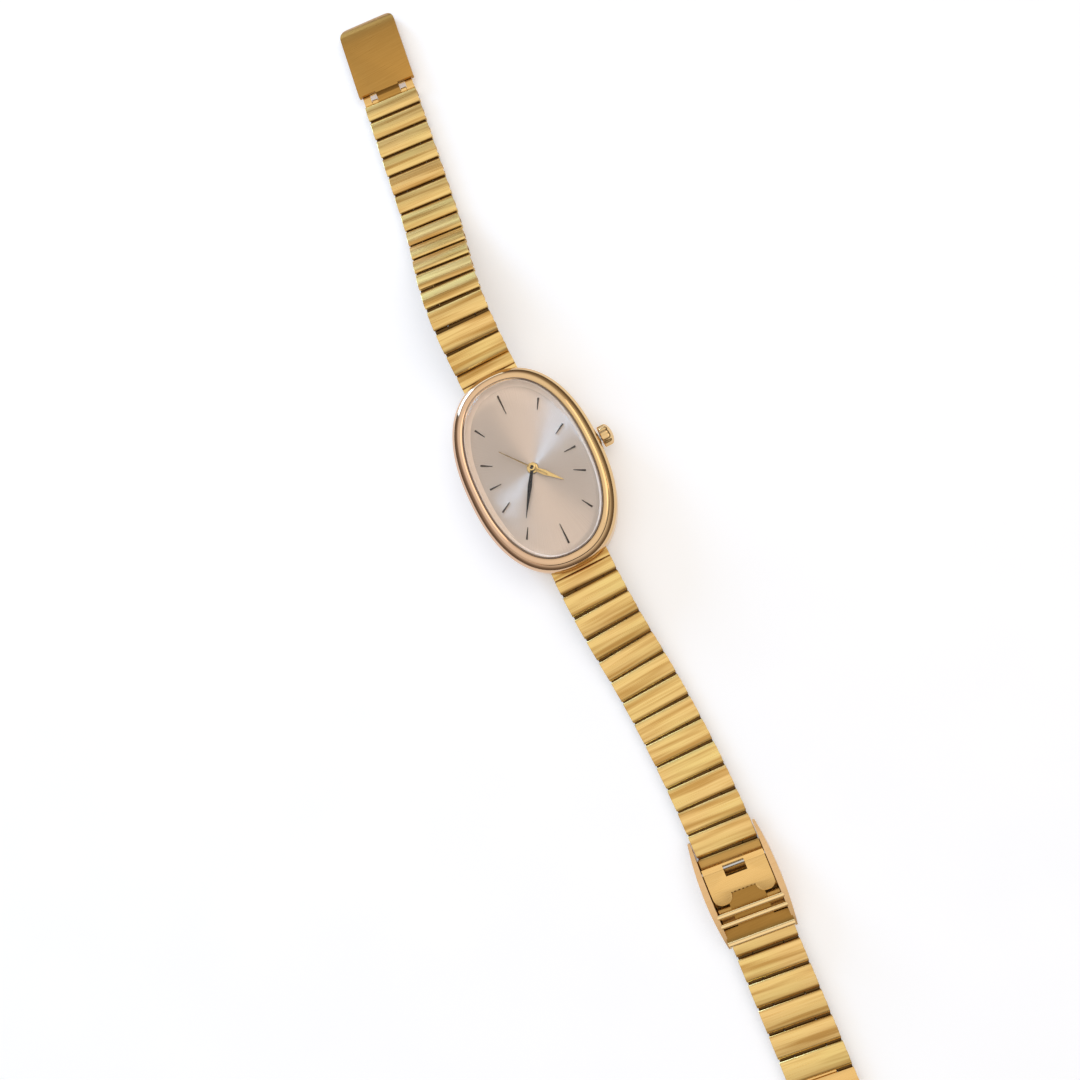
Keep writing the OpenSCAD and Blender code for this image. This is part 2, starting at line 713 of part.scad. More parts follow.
// The end link is solid, and its thin root runs under the case's hood to the spring bar
module end_link() {
    pitch = end_link_pitch;
    root_top = edge_z - 0.08;
    visible = lug_in + 0.25;
    tube_w = strap_w - 0.2;
    color("#e0b040") {
        difference() {
            union() {
                across(strap_w) polygon(concat(
                    [[end_tube_r * 0.5, root_top], [visible, root_top]],
                    link_top(visible, pitch - groove_w / 2), [
                    [pitch - groove_w / 2, edge_z - sheet_t],
                    [pitch - body_set, edge_z - sheet_t],
                    [pitch - body_set, -link_belly],
                    [end_tube_r * 0.5, -link_belly]]));
                bar(-tube_w / 2, tube_w / 2, end_tube_r);
                outer_knuckles(pitch);
            }
            bar(-strap_w, strap_w, spring_bar_d / 2 + run_clear);
            translate([0, pitch, 0]) bar(-strap_w, strap_w, pin_r + press_clear);
        }
        link_pin(pitch);
    }
}

// The last link of the tail ends in a rounded lip in place of barrels
module tail_end() {
    stop = link_pitch - body_set;
    color("#e0b040") difference() {
        union() {
            across(strap_w) link_section(link_pitch);
            middle_knuckle();
            translate([0, stop, 0]) bar(-strap_w / 2 + 0.3, strap_w / 2 - 0.3, link_belly);
        }
        bar(-strap_w, strap_w, pin_bore_r);
    }
}

module on_upper(i) {
    translate(upper_pins[i - 1]) rotate([-upper_falls[i - 1], 0, upper_turns[i - 1]]) children();
}

module on_lower(i) {
    rotate([0, 0, 180]) translate(lower_pins[i - 1])
        rotate([-lower_falls[i - 1], 0, lower_turns[i - 1]]) children();
}

module upper_link(i) {
    on_upper(i) {
        if (i == 1) end_link();
        else link(i == upper_links);
    }
}

module lower_link(i) {
    on_lower(i) {
        if (i == 1) end_link();
        else if (i == lower_count) tail_end();
        else link();
    }
}

module buckle_links() {
    for (i = [lower_links + 1:lower_links + buckle_run]) lower_link(i);
}

// Cover plate, whose middle barrel turns on the last pin. Its frame starts at that pin.
module on_cover() {
    translate(upper_pins[upper_links])
        rotate([-upper_falls[upper_links - 1], 0, upper_turns[upper_links - 1]]) children();
}

cover_top = edge_z + 0.3;
cover_start = body_set + 0.25;
cover_side_start = cover_start + 0.3;
cover_drop = 1.5;
cover_web_t = 0.3;

function cover_side(inset, lower) = concat(
    [[cover_start, cover_top - inset - lower]],
    [for (a = [90:-15:0]) [cover_l - cover_bend + (cover_bend - inset) * cos(a),
        cover_top - cover_drop - lower + (cover_drop - inset) * sin(a)]]);

module cover_form(inset) {
    intersection() {
        across(2 * cover_w) polygon(concat(cover_side(inset, 0), [
            [cover_l - inset, cover_top - cover_drop - inset],
            [cover_start, cover_top - cover_drop - inset]]));
        translate([-cover_w / 2 + inset, 0, -cut_h / 2]) linear_extrude(cut_h) {
            square([cover_w - 2 * inset, cover_l - cover_corner]);
            translate([cover_corner, 0]) square([cover_w - 2 * inset - 2 * cover_corner, cover_l - inset]);
            for (x = [cover_corner, cover_w - 2 * inset - cover_corner])
                translate([x, cover_l - inset - cover_corner]) circle(cover_corner);
        }
    }
}

module cover_plate() {
    skirt = 0.75;
    color("#d9ab3c") on_cover() difference() {
        union() {
            difference() {
                cover_form(0);
                cover_form(cover_t);
                across(2 * cover_w) polygon(concat(
                    [[0, cover_top - skirt]], cover_side(0, skirt), [[cover_l, -cover_l], [0, -cover_l]]));
                both_sides() translate([cover_barrel_w / 2, 0, -cover_w]) cube([cover_w, cover_side_start, 2 * cover_w]);
            }
            bar(-cover_barrel_w / 2, cover_barrel_w / 2, barrel_r);
            across(cover_barrel_w) polygon([
                [0, barrel_r], [0, barrel_r - cover_web_t], [cover_start, barrel_r - cover_web_t],
                [cover_start + cover_t, cover_top - cover_t], [cover_start + cover_t, cover_top - tiny],
                [cover_start + tiny, cover_top - tiny], [cover_start - cover_t, barrel_r]]);
        }
        bar(-strap_w, strap_w, pin_bore_r);
    }
}

module hook_leaf() {
    low = -leaf_t / 2;
    hook_r = 0.4;
    arm_low = barrel_r - leaf_t;
    leaf_start = cover_start + cover_t + 0.15;
    color("#d9ab3c") on_cover() {
        difference() {
            union() {
                both_sides() bar(leaf_barrel_x, leaf_barrel_x + leaf_barrel_w, barrel_r);
                both_sides() translate([leaf_barrel_x + leaf_barrel_w / 2, 0, 0]) across(leaf_barrel_w) polygon([
                    [0, arm_low], [0, barrel_r], [leaf_start + leaf_t, barrel_r],
                    [leaf_start + leaf_t, low], [leaf_start, low], [leaf_start, arm_low]]);
                translate([-leaf_barrel_x - leaf_barrel_w, leaf_start, low])
                    cube([2 * (leaf_barrel_x + leaf_barrel_w), 1, leaf_t]);
                translate([-leaf_w / 2, leaf_start, low]) cube([leaf_w, leaf_l - leaf_start - hook_r, leaf_t]);
                translate([0, leaf_l - hook_r, 0]) across(leaf_w - 1.6) difference() {
                    translate([0, low - hook_r + leaf_t]) circle(hook_r);
                    translate([0, low - hook_r + leaf_t]) circle(hook_r - leaf_t);
                    translate([-2 * hook_r, low - 2 * hook_r]) square([2 * hook_r, 2 * hook_r]);
                }
            }
            bar(-strap_w, strap_w, pin_bore_r);
        }
    }
}

// Sliding buckle, in the frame of the links that it runs on
module on_buckle() {
    on_lower(lower_links + 1) translate([0, buckle_start_y, 0]) children();
}

// A rail is straight inside and bowed outside, and its ends taper up beside the strap
module rail() {
    middle = buckle_l / 2;
    inside = tunnel_w / 2;
    function bow(y) = 1 - pow((y - middle) / middle, 2);
    intersection() {
        translate([0, 0, -cut_h / 2]) linear_extrude(cut_h) polygon(concat(
            [[inside, 0], [inside, buckle_l]],
            [for (i = [12:-1:0]) let (y = buckle_l * i / 12) [inside + rail_t + rail_bow * bow(y), y]]));
        translate([inside, 0, 0]) across(2 * inside) polygon(concat(
            [for (i = [0:12]) let (y = buckle_l * i / 12) [y, rail_end_z + rail_arch * bow(y)]],
            [[buckle_l, 0.6], [buckle_l - 0.9, buckle_low_z], [floor_start_y, buckle_low_z], [0, 0.6]]));
    }
}

// The ramp falls from the lip to a tongue that runs on under both bars
module clasp_frame() {
    span = tunnel_w / 2 + rail_t / 2;
    tongue_w = 5.2;
    bar_z = tongue_z + leaf_t + 0.07 + hook_bar_d / 2;
    second_bar_d = 0.7;
    ramp_y = hook_bar_y + 2;
    lip_d = 0.8;
    lip_y = buckle_l - 0.6;
    lip_z = tongue_z + 0.35;
    color("#dcae3e") on_buckle() {
        difference() {
            union() {
                both_sides() rail();
                translate([-span, floor_start_y, buckle_low_z])
                    cube([2 * span, buckle_l - 0.9 - floor_start_y, floor_t]);
                translate([0, hook_bar_y, bar_z]) bar(-span, span, hook_bar_d / 2);
                translate([0, hook_bar_y + 1.3, bar_z - 0.05]) bar(-span, span, second_bar_d / 2);
                across(2 * span) polygon([
                    [ramp_y, tongue_z - tongue_t], [ramp_y, tongue_z],
                    [lip_y, lip_z + lip_d / 2 - 0.05], [lip_y, lip_z - 0.1], [lip_y - 0.6, tongue_z - tongue_t]]);
                translate([0, lip_y, lip_z]) bar(-span, span, lip_d / 2);
                translate([-tongue_w / 2, hook_bar_y - 2.3, tongue_z - tongue_t])
                    cube([tongue_w, ramp_y - hook_bar_y + 2.4, tongue_t]);
            }
            translate([0, lock_pin_y, lock_pin_z]) bar(-strap_w, strap_w, lock_pin_d / 2 + press_clear);
        }
        translate([0, lock_pin_y, lock_pin_z]) bar(-buckle_w / 2 - 0.2, buckle_w / 2 + 0.2, lock_pin_d / 2);
    }
}

// Lock plate: its pin shows in the slot. It is flat as far as its bend, then falls to two feet
// with a toothed notch between them.
lock_barrel_r = lock_pin_d / 2 + run_clear + 0.15;
lock_half_w = tunnel_w / 2 - side_clear;
lock_back = 0.65;
lock_fold_y = 2.5;
slot_back = 0.35;
notch_half_w = 1.75;
foot_flat = 0.36;
foot_r = (lock_half_w - notch_half_w - foot_flat) / 2;
notch_depth = 1.4;
notch_teeth = 6;

module lock_plan() {
    end = lock_l - foot_r;
    teeth = [for (k = [0:2 * notch_teeth])
        [notch_half_w * (1 - k / notch_teeth), lock_l - notch_depth + 0.18 * (k % 2)]];
    difference() {
        polygon(concat(
            [[-lock_half_w, -lock_back], [lock_half_w, -lock_back]],
            arc(lock_half_w - foot_r, end, foot_r, 0),
            arc(notch_half_w + foot_r, end, foot_r, 90),
            teeth,
            arc(-notch_half_w - foot_r, end, foot_r, 0),
            arc(-lock_half_w + foot_r, end, foot_r, 90)));
        translate([-slot_w / 2, -slot_back]) square([slot_w, slot_l]);
    }
}

module lock_plate() {
    top = lock_barrel_r - 0.05;
    foot_z = tongue_z + run_clear - lock_pin_z;
    color("#d2a236") on_buckle() translate([0, lock_pin_y, lock_pin_z]) difference() {
        union() {
            intersection() {
                across(buckle_w) polygon([
                    [-lock_back, top], [lock_fold_y, top], [lock_l, foot_z + lock_t],
                    [lock_l, foot_z], [lock_fold_y, top - lock_t], [-lock_back, top - lock_t]]);
                translate([0, 0, -cut_h / 2]) linear_extrude(cut_h) lock_plan();
            }
            both_sides() bar(slot_w / 2, lock_half_w, lock_barrel_r);
        }
        bar(-strap_w, strap_w, lock_pin_d / 2 + run_clear);
    }
}

case();
bezel_ring();
case_back();
back_gasket();
crystal();
crystal_gasket();
dial_ring();
dial();
hour_markers();
hour_hand();
minute_hand();
second_hand();
movement_plate();
movement_holder();
battery();
motor_coil();
winding_stem();
clutch_pinion();
crown();
stem_tube();
spring_bars();
for (i = [1:upper_links]) upper_link(i);
for (i = [1:lower_links]) lower_link(i);
buckle_links();
for (i = [1:tail_links]) lower_link(lower_links + buckle_run + i);
cover_plate();
hook_leaf();
clasp_frame();
lock_plate();
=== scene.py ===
# Looks of the ladies' bracelet watch: camera, light, finishes and the finely modelled pieces.
import math
import json

import bmesh
import bpy
from mathutils import Matrix, Vector


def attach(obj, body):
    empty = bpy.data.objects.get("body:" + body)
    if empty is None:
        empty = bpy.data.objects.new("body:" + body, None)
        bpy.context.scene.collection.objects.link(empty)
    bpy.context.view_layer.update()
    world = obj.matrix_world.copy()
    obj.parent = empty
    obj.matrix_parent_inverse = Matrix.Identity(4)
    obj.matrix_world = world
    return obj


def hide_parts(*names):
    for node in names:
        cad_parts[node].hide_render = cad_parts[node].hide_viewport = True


MM = 0.001
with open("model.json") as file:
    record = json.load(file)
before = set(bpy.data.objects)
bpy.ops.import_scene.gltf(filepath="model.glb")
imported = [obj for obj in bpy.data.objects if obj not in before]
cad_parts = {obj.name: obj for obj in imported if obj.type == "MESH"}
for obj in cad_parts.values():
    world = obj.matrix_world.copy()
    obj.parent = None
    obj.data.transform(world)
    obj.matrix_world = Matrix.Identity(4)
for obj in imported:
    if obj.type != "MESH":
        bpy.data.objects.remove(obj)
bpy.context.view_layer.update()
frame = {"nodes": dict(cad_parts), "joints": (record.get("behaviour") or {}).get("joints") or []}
nodes = frame["nodes"]
joint_of = {joint["child"]: joint for joint in frame["joints"]}

# Head of the watch, in millimetres. W and L are an oval's full sizes, and LOW and TOP are heights.
CASE_W, CASE_L, CASE_H = 21.4, 32.4, 6.2
BAND_LOW, BELLY, SHOULDER = 0.5, 3.4, 4.9
BAND_DRAW_IN, BAND_UNDER_IN, RIM_IN = 1.1, 0.35, 0.95
BACK_OPEN_W, BACK_OPEN_L, BACK_SEAT_Z = 17.5, 25.5, 1.35
CAVITY_W, CAVITY_L, SEAT_CLEAR = 16.6, 23.8, 0.05
BEZEL_W, BEZEL_L, BEZEL_LOW, BEZEL_TOP, BEZEL_DROP = 19.4, 30.4, 5.25, 6.6, 0.11
CRYSTAL_W, CRYSTAL_L, CRYSTAL_LOW, CRYSTAL_TOP, CRYSTAL_BEVEL = 17.4, 28.1, 6.1, 7.3, 0.55
GASKET = 0.2
DIAL_W, DIAL_L, DIAL_LOW, DIAL_TOP, DIAL_HOLE_R = 16.9, 27.6, 4.75, 5.05, 0.9
DIAL_OPEN_W, DIAL_OPEN_L, DIAL_EASE = 15.7, 26.4, 0.02
# The sloping ring's rows: out from the dial's opening and up from the dial
RING_SLOPE = ((0.0, 0.0), (0.14, 0.09), (0.27, 0.22), (0.38, 0.42), (0.46, 0.70))
RING_FLAT, RING_TOP_GAP = 0.1, 0.01
MARKER_RING_W, MARKER_RING_L = 14.2, 25.6
MARKER_SHORT, MARKER_LONG, MARKER_LONG_IN = 1.85, 3.15, 0.3
MARKER_INNER_W, MARKER_OUTER_W, MARKER_END_W, MARKER_END_LEN = 0.10, 0.29, 0.25, 0.05
MARKER_EDGE, MARKER_RIDGE = 0.08, 0.15
HAND_THICK, HUB_EASE = 0.12, 0.08
CROWN_X, CROWN_R, CROWN_LEN, CROWN_GROOVES, CROWN_GROOVE_DEEP = 11.0, 1.7, 1.9, 12, 0.08
STEM_Z, STEM_HOLE_R, STEM_HOLE_IN, STEM_HOLE_OUT = 3.2, 0.9, 8.0, 12.0
LUG_Y, LUG_Z, NOTCH_W, NOTCH_IN_Y, HOOD_CLEAR = 14.2, 3.2, 9.24, 13.17, 1.0
NOTCH_LOW, NOTCH_PAST = -1, 2
END_TUBE_R, END_TUBE_CLEAR = 0.9, 0.13

# Bracelet, in millimetres
STRAP_W, PITCH, END_PITCH = 9.0, 3.5, 4.6
PIN_R, PIN_SHORT, BARREL_R, GROOVE = 0.28, 0.2, 0.52, 0.34
EDGE_Z, CREST, BELLY_Z, SHEET = 0.75, 0.276, 0.62, 0.2
BODY_SET, SLIT_HALF, WEB_T = 0.75, 0.25, 0.5
MIDDLE_W, SIDE_CLEAR = 4.4, 0.12
FAR_CURL, CURL_REACH = 0.13, 0.42
END_ROOT_DROP, END_COVERED = 0.08, 0.25
LAST_BARREL_X, LAST_BARREL_W, LAST_EDGE_LAP = 2.12, 0.9, 0.01
LOCK_PIN_Y, LOCK_PIN_Z, LOCK_PIN_REACH, BAR_LOW_Z, RAIL_GAP = 2.1, 1.86, 0.36, 1.7, 0.1
LINK_EASE = 0.05

# Angles in degrees. A mesh with eased edges is sharp from just below the step of its bevels, so that its flat
# faces shade flat.
RIM_ARC, HOOD_ANGLE = 60, 20
CASE_SHARP, EASED_SHARP, LINK_EASE_FROM, EASE_FROM = 30, 21, 40, 35

# Shares and powers
OVAL_POWER = 2.3
BEZEL_CROWN_SHARE = 0.5
CREST_SKEW = 0.63
CROWN_DOME = 0.45
# The well in a hand's hub, as shares of the hub's radius and of the hand's thickness. Inside the share
# HUB_PAINTED_SHADE the hub is painted dark, as shade in its well
HUB_RINGS = ((0.6, 1.0), (0.55, 0.6), (0.4, 0.6), (0.35, 1.0))
HUB_PAINTED_SHADE = 0.57

# Steps round or along a shape
OVAL_STEPS, TUBE_STEPS, LATHE_STEPS, NOTCH_STEPS, BARREL_STEPS = 192, 48, 64, 24, 40
BAND_STEPS, RIM_STEPS, BEZEL_STEPS, LINK_TOP_STEPS = 24, 40, 20, 36
CROWN_GROOVE_STEPS, CROWN_DOME_STEPS = 12, 12

# Links. The tone numbers place a link in the pattern of tones, and one number further is one tone shift.
UPPER_LINKS, LOWER_LINKS, BUCKLE_LINKS, TAIL_LINKS, COVERED_LINKS = 16, 13, 5, 5, 3
HALF_TONE, BUCKLE_TONE, TAIL_TONE = 20, 41, 47
TONE_SHIFT = (11.3, 17.7)

# Camera in pixels of the photograph, and the floor in metres with the share of light that it adds where seen
CAMERA_HALF_FRAME, CAMERA_FOCUS = 540, 1050
FLOOR_HALF, FLOOR_LIFT = 3.0, 0.30


# Small helpers for shader and geometry nodes
def feed(tree, to, sockets):
    for name, value in sockets.items():
        if isinstance(value, bpy.types.NodeSocket):
            tree.links.new(value, to.inputs[name])
        else:
            to.inputs[name].default_value = value


def add(tree, kind, sockets=None, **settings):
    made = tree.nodes.new(kind)
    for name, value in settings.items():
        setattr(made, name, value)
    feed(tree, made, sockets or {})
    return made


def maths(tree, operation, *values):
    return add(tree, "ShaderNodeMath", dict(enumerate(values)), operation=operation).outputs[0]


# The mix node keeps its factor and its two colours at inputs 0, 6 and 7, and the blended colour at output 2
def blend_colours(tree, share, low, high):
    return add(tree, "ShaderNodeMix", {0: share, 6: low, 7: high}, data_type="RGBA").outputs[2]


# Shader groups that several finishes share
def brushed_lines_group():
    tree = bpy.data.node_groups.new("Brushed lines", "ShaderNodeTree")
    interface = tree.interface
    interface.new_socket("Place", in_out="INPUT", socket_type="NodeSocketVector")
    for name in ("Across", "Along", "Height", "Roughness", "Spread"):
        interface.new_socket(name, in_out="INPUT", socket_type="NodeSocketFloat")
    interface.new_socket("Roughness", in_out="OUTPUT", socket_type="NodeSocketFloat")
    interface.new_socket("Normal", in_out="OUTPUT", socket_type="NodeSocketVector")
    interface.new_socket("Shade", in_out="OUTPUT", socket_type="NodeSocketFloat")
    given = add(tree, "NodeGroupInput")
    result = add(tree, "NodeGroupOutput")
    scale = add(tree, "ShaderNodeCombineXYZ",
                {0: given.outputs["Along"], 1: given.outputs["Across"], 2: given.outputs["Across"]})
    stretched = add(tree, "ShaderNodeVectorMath", {0: given.outputs["Place"], 1: scale.outputs[0]},
                    operation="MULTIPLY")
    lines = add(tree, "ShaderNodeTexNoise", {"Vector": stretched.outputs[0], "Scale": 1.0, "Detail": 3.0})
    bump = add(tree, "ShaderNodeBump",
               {"Strength": given.outputs["Height"], "Distance": 0.00002, "Height": lines.outputs[0]})
    swing = maths(tree, "SUBTRACT", lines.outputs[0], 0.5)
    rough = maths(tree, "MULTIPLY_ADD", swing, given.outputs["Spread"], given.outputs["Roughness"])
    tree.links.new(rough, result.inputs["Roughness"])
    tree.links.new(bump.outputs[0], result.inputs["Normal"])
    tree.links.new(lines.outputs[0], result.inputs["Shade"])
    return tree


def handling_group():
    tree = bpy.data.node_groups.new("Handling marks", "ShaderNodeTree")
    interface = tree.interface
    for name in ("Size", "Roughness", "Spread"):
        interface.new_socket(name, in_out="INPUT", socket_type="NodeSocketFloat")
    interface.new_socket("Roughness", in_out="OUTPUT", socket_type="NodeSocketFloat")
    interface.new_socket("Mask", in_out="OUTPUT", socket_type="NodeSocketFloat")
    given = add(tree, "NodeGroupInput")
    result = add(tree, "NodeGroupOutput")
    place = add(tree, "ShaderNodeTexCoord")
    smear = add(tree, "ShaderNodeTexNoise",
                {"Vector": place.outputs["Object"], "Scale": given.outputs["Size"], "Detail": 4.0})
    swing = maths(tree, "SUBTRACT", smear.outputs[0], 0.5)
    rough = maths(tree, "MULTIPLY_ADD", swing, given.outputs["Spread"], given.outputs["Roughness"])
    tree.links.new(rough, result.inputs["Roughness"])
    tree.links.new(smear.outputs[0], result.inputs["Mask"])
    return tree


BRUSHED = brushed_lines_group()
HANDLING = handling_group()


def new_material(name):
    material = bpy.data.materials.new(name)
    material.use_nodes = True
    tree = material.node_tree
    return material, tree, tree.nodes["Principled BSDF"]


def brushed_metal(name, low, high, roughness, height=0.2, spread=0.12, across=9000.0, along=250.0):
    material, tree, shader = new_material(name)
    lines = add(tree, "ShaderNodeGroup",
                {"Place": add(tree, "ShaderNodeTexCoord").outputs["Object"], "Across": across, "Along": along,
                 "Height": height, "Roughness": roughness, "Spread": spread}, node_tree=BRUSHED)
    feed(tree, shader, {"Base Color": blend_colours(tree, lines.outputs["Shade"], low, high), "Metallic": 1.0,
                        "Roughness": lines.outputs["Roughness"], "Normal": lines.outputs["Normal"]})
    return material


# Satin gold of the links. Its lines run across the link, in the link's own map, and each link has its tone.
def link_gold():
    material, tree, shader = new_material("Satin link gold")
    place = add(tree, "ShaderNodeUVMap", uv_map="Link place").outputs[0]
    lines = add(tree, "ShaderNodeGroup", {"Place": place, "Across": 5.5, "Along": 0.16, "Height": 0.05,
                                          "Roughness": 0.29, "Spread": 0.14}, node_tree=BRUSHED)
    tone = add(tree, "ShaderNodeTexNoise", {"Vector": place, "Scale": 0.09, "Detail": 1.0})
    fine = blend_colours(tree, lines.outputs["Shade"], (0.68, 0.40, 0.11, 1), (0.99, 0.72, 0.32, 1))
    drift = add(tree, "ShaderNodeMapRange", {"Value": tone.outputs[0], "From Min": 0.35, "From Max": 0.65})
    share = maths(tree, "MULTIPLY", drift.outputs[0], 0.6)
    # Brown bands across each link, placed by noise
    wide = add(tree, "ShaderNodeVectorMath", {0: place, 1: (0.05, 1.1, 0.0)}, operation="MULTIPLY")
    bands = add(tree, "ShaderNodeTexNoise", {"Vector": wide.outputs[0], "Scale": 1.0, "Detail": 2.0})
    brown_band_share = add(tree, "ShaderNodeMapRange",
                {"Value": bands.outputs[0], "From Min": 0.46, "From Max": 0.66, "To Max": 0.8})
    toned = blend_colours(tree, share, fine, (0.86, 0.68, 0.25, 1))
    banded = blend_colours(tree, brown_band_share.outputs[0], toned, (0.50, 0.26, 0.06, 1))
    feed(tree, shader, {"Base Color": banded, "Metallic": 1.0, "Roughness": lines.outputs["Roughness"],
                        "Normal": lines.outputs["Normal"]})
    return material


def handled_coat(name, low, high, roughness, size, spread, metallic):
    material, tree, shader = new_material(name)
    marks = add(tree, "ShaderNodeGroup", {"Size": size, "Roughness": roughness, "Spread": spread},
                node_tree=HANDLING)
    feed(tree, shader, {"Base Color": blend_colours(tree, marks.outputs["Mask"], low, high),
                        "Roughness": marks.outputs["Roughness"], "Metallic": metallic})
    return material


def polished_metal(name, low, high, roughness):
    return handled_coat(name, low, high, roughness, 300.0, 0.08, 1.0)


def plain_coat(name, low, high, roughness):
    return handled_coat(name, low, high, roughness, 400.0, 0.1, 0.0)


# Polished case gold with a painted reflection tint: rosier at 9 o'clock and yellower at the crown
def case_gold():
    material, tree, shader = new_material("Polished case gold")
    marks = add(tree, "ShaderNodeGroup", {"Size": 260.0, "Roughness": 0.07, "Spread": 0.05},
                node_tree=HANDLING)
    parts = add(tree, "ShaderNodeSeparateXYZ", {0: add(tree, "ShaderNodeTexCoord").outputs["Object"]})
    side = add(tree, "ShaderNodeMapRange",
               {"Value": parts.outputs[0], "From Min": -CASE_W * MM / 2, "From Max": CASE_W * MM / 2})
    gold = blend_colours(tree, side.outputs[0], (0.70, 0.47, 0.33, 1), (0.76, 0.52, 0.25, 1))
    feed(tree, shader, {"Base Color": gold, "Roughness": marks.outputs["Roughness"], "Metallic": 1.0})
    return material


# Silvered dial with a sunburst: fine rays from the centre, and gloss drawn out across them
def sunburst_dial():
    material, tree, shader = new_material("Sunburst dial")
    place = add(tree, "ShaderNodeTexCoord").outputs["Object"]
    parts = add(tree, "ShaderNodeSeparateXYZ", {0: place})
    angle = maths(tree, "ARCTAN2", parts.outputs[1], parts.outputs[0])
    ray = add(tree, "ShaderNodeTexNoise",
              {"W": maths(tree, "MULTIPLY", angle, 90.0), "Scale": 1.0, "Detail": 3.0}, noise_dimensions="1D")
    silver = blend_colours(tree, ray.outputs[0], (0.66, 0.55, 0.465, 1), (0.82, 0.71, 0.62, 1))
    rough = maths(tree, "MULTIPLY_ADD", ray.outputs[0], 0.06, 0.45)
    round_about = add(tree, "ShaderNodeVectorMath", {0: (0, 0, 1), 1: place}, operation="CROSS_PRODUCT")
    feed(tree, shader, {"Base Color": silver, "Roughness": rough, "Tangent": round_about.outputs[0],
                        "Metallic": 1.0, "Anisotropic": 0.98})
    return material


def clear_glass():
    material, tree, shader = new_material("Crystal glass")
    feed(tree, shader, {"Base Color": (1, 1, 1, 1), "Roughness": 0.0, "IOR": 1.3, "Specular IOR Level": 0.25,
                        "Transmission Weight": 1.0})
    path = add(tree, "ShaderNodeLightPath")
    clear = add(tree, "ShaderNodeBsdfTransparent")
    either = add(tree, "ShaderNodeMixShader", {0: path.outputs["Is Shadow Ray"]})
    tree.links.new(shader.outputs[0], either.inputs[1])
    tree.links.new(clear.outputs[0], either.inputs[2])
    tree.links.new(either.outputs[0], tree.nodes["Material Output"].inputs[0])
    return material


LINK_GOLD = link_gold()
STRAP_GOLD = brushed_metal("Satin yellow gold", (0.76, 0.46, 0.15, 1), (0.90, 0.60, 0.24, 1), 0.26, 0.08)
# Painted shade: a near-black copy of the gold on the links' barrels, webs and pins, so that the grooves
# between links read dark
HINGE_SHADE_GOLD = brushed_metal("Shaded hinge gold", (0.08, 0.042, 0.013, 1), (0.17, 0.095, 0.03, 1), 0.5, 0.05)
RAIL_GOLD = brushed_metal("Rosy rail gold", (0.66, 0.40, 0.18, 1), (0.80, 0.54, 0.28, 1), 0.24, 0.06)
# Painted shade: a dark copy of the gold for the clasp frame's ramp and tongue inside the buckle, and for the
# stem tube in the gap by the crown
RAMP_SHADE_GOLD = brushed_metal("Ramp gold with painted shade", (0.30, 0.15, 0.03, 1), (0.44, 0.24, 0.06, 1), 0.34, 0.08)
# Painted shade: the cover plate is a darker, browner copy of the strap gold, for the dark surroundings that
# its flat top mirrors
COVER_SHADE_GOLD = brushed_metal("Cover gold with painted shade", (0.41, 0.21, 0.045, 1), (0.56, 0.31, 0.08, 1), 0.30, 0.05)
SHADED_GOLD = brushed_metal("Shaded link gold", (0.42, 0.23, 0.06, 1), (0.60, 0.36, 0.11, 1), 0.30, 0.06)
BRIGHT_GOLD = polished_metal("Bright yellow gold", (0.86, 0.60, 0.28, 1), (0.94, 0.70, 0.36, 1), 0.14)
CASE_GOLD = case_gold()
HAND_GOLD = polished_metal("Hand gold", (0.68, 0.46, 0.16, 1), (0.80, 0.58, 0.26, 1), 0.18)
# Near-black metal, painted: the minute hand is dark for the dark reflection it shows, and the hubs' wells are
# painted shade
HAND_PAINTED_DARK = polished_metal("Hand metal painted dark", (0.010, 0.009, 0.009, 1), (0.025, 0.022, 0.02, 1), 0.3)
MARKER_METAL = polished_metal("Marker metal", (0.06, 0.045, 0.035, 1), (0.13, 0.10, 0.08, 1), 0.25)
# Painted shade: the crystal gasket is dark brown, for the shadowed line between the sloping ring and the
# bezel
GASKET_SHADE_COAT = plain_coat("Gasket with painted shade", (0.20, 0.12, 0.07, 1), (0.28, 0.18, 0.11, 1), 0.4)
STEEL = brushed_metal("Brushed steel", (0.52, 0.52, 0.52, 1), (0.66, 0.66, 0.65, 1), 0.28)
MOVEMENT_BRASS = brushed_metal("Movement brass", (0.60, 0.46, 0.24, 1), (0.72, 0.58, 0.34, 1), 0.35)
DIAL_RING_COAT = plain_coat("Dial ring", (0.94, 0.76, 0.61, 1), (0.99, 0.83, 0.69, 1), 0.35)
SEAL = plain_coat("Seal rubber", (0.02, 0.02, 0.02, 1), (0.05, 0.05, 0.05, 1), 0.6)
NYLON = plain_coat("Gasket nylon", (0.74, 0.70, 0.64, 1), (0.84, 0.80, 0.75, 1), 0.4)
COPPER = brushed_metal("Coil wire", (0.45, 0.17, 0.06, 1), (0.66, 0.28, 0.12, 1), 0.35, height=0.6,
                       spread=0.1, across=400.0, along=12000.0)
DIAL = sunburst_dial()
GLASS = clear_glass()


def new_object(name, data):
    made = bpy.data.objects.new(name, data)
    bpy.context.scene.collection.objects.link(made)
    return made


def applied_mesh(source):
    bpy.context.view_layer.update()
    return bpy.data.meshes.new_from_object(source.evaluated_get(bpy.context.evaluated_depsgraph_get()))


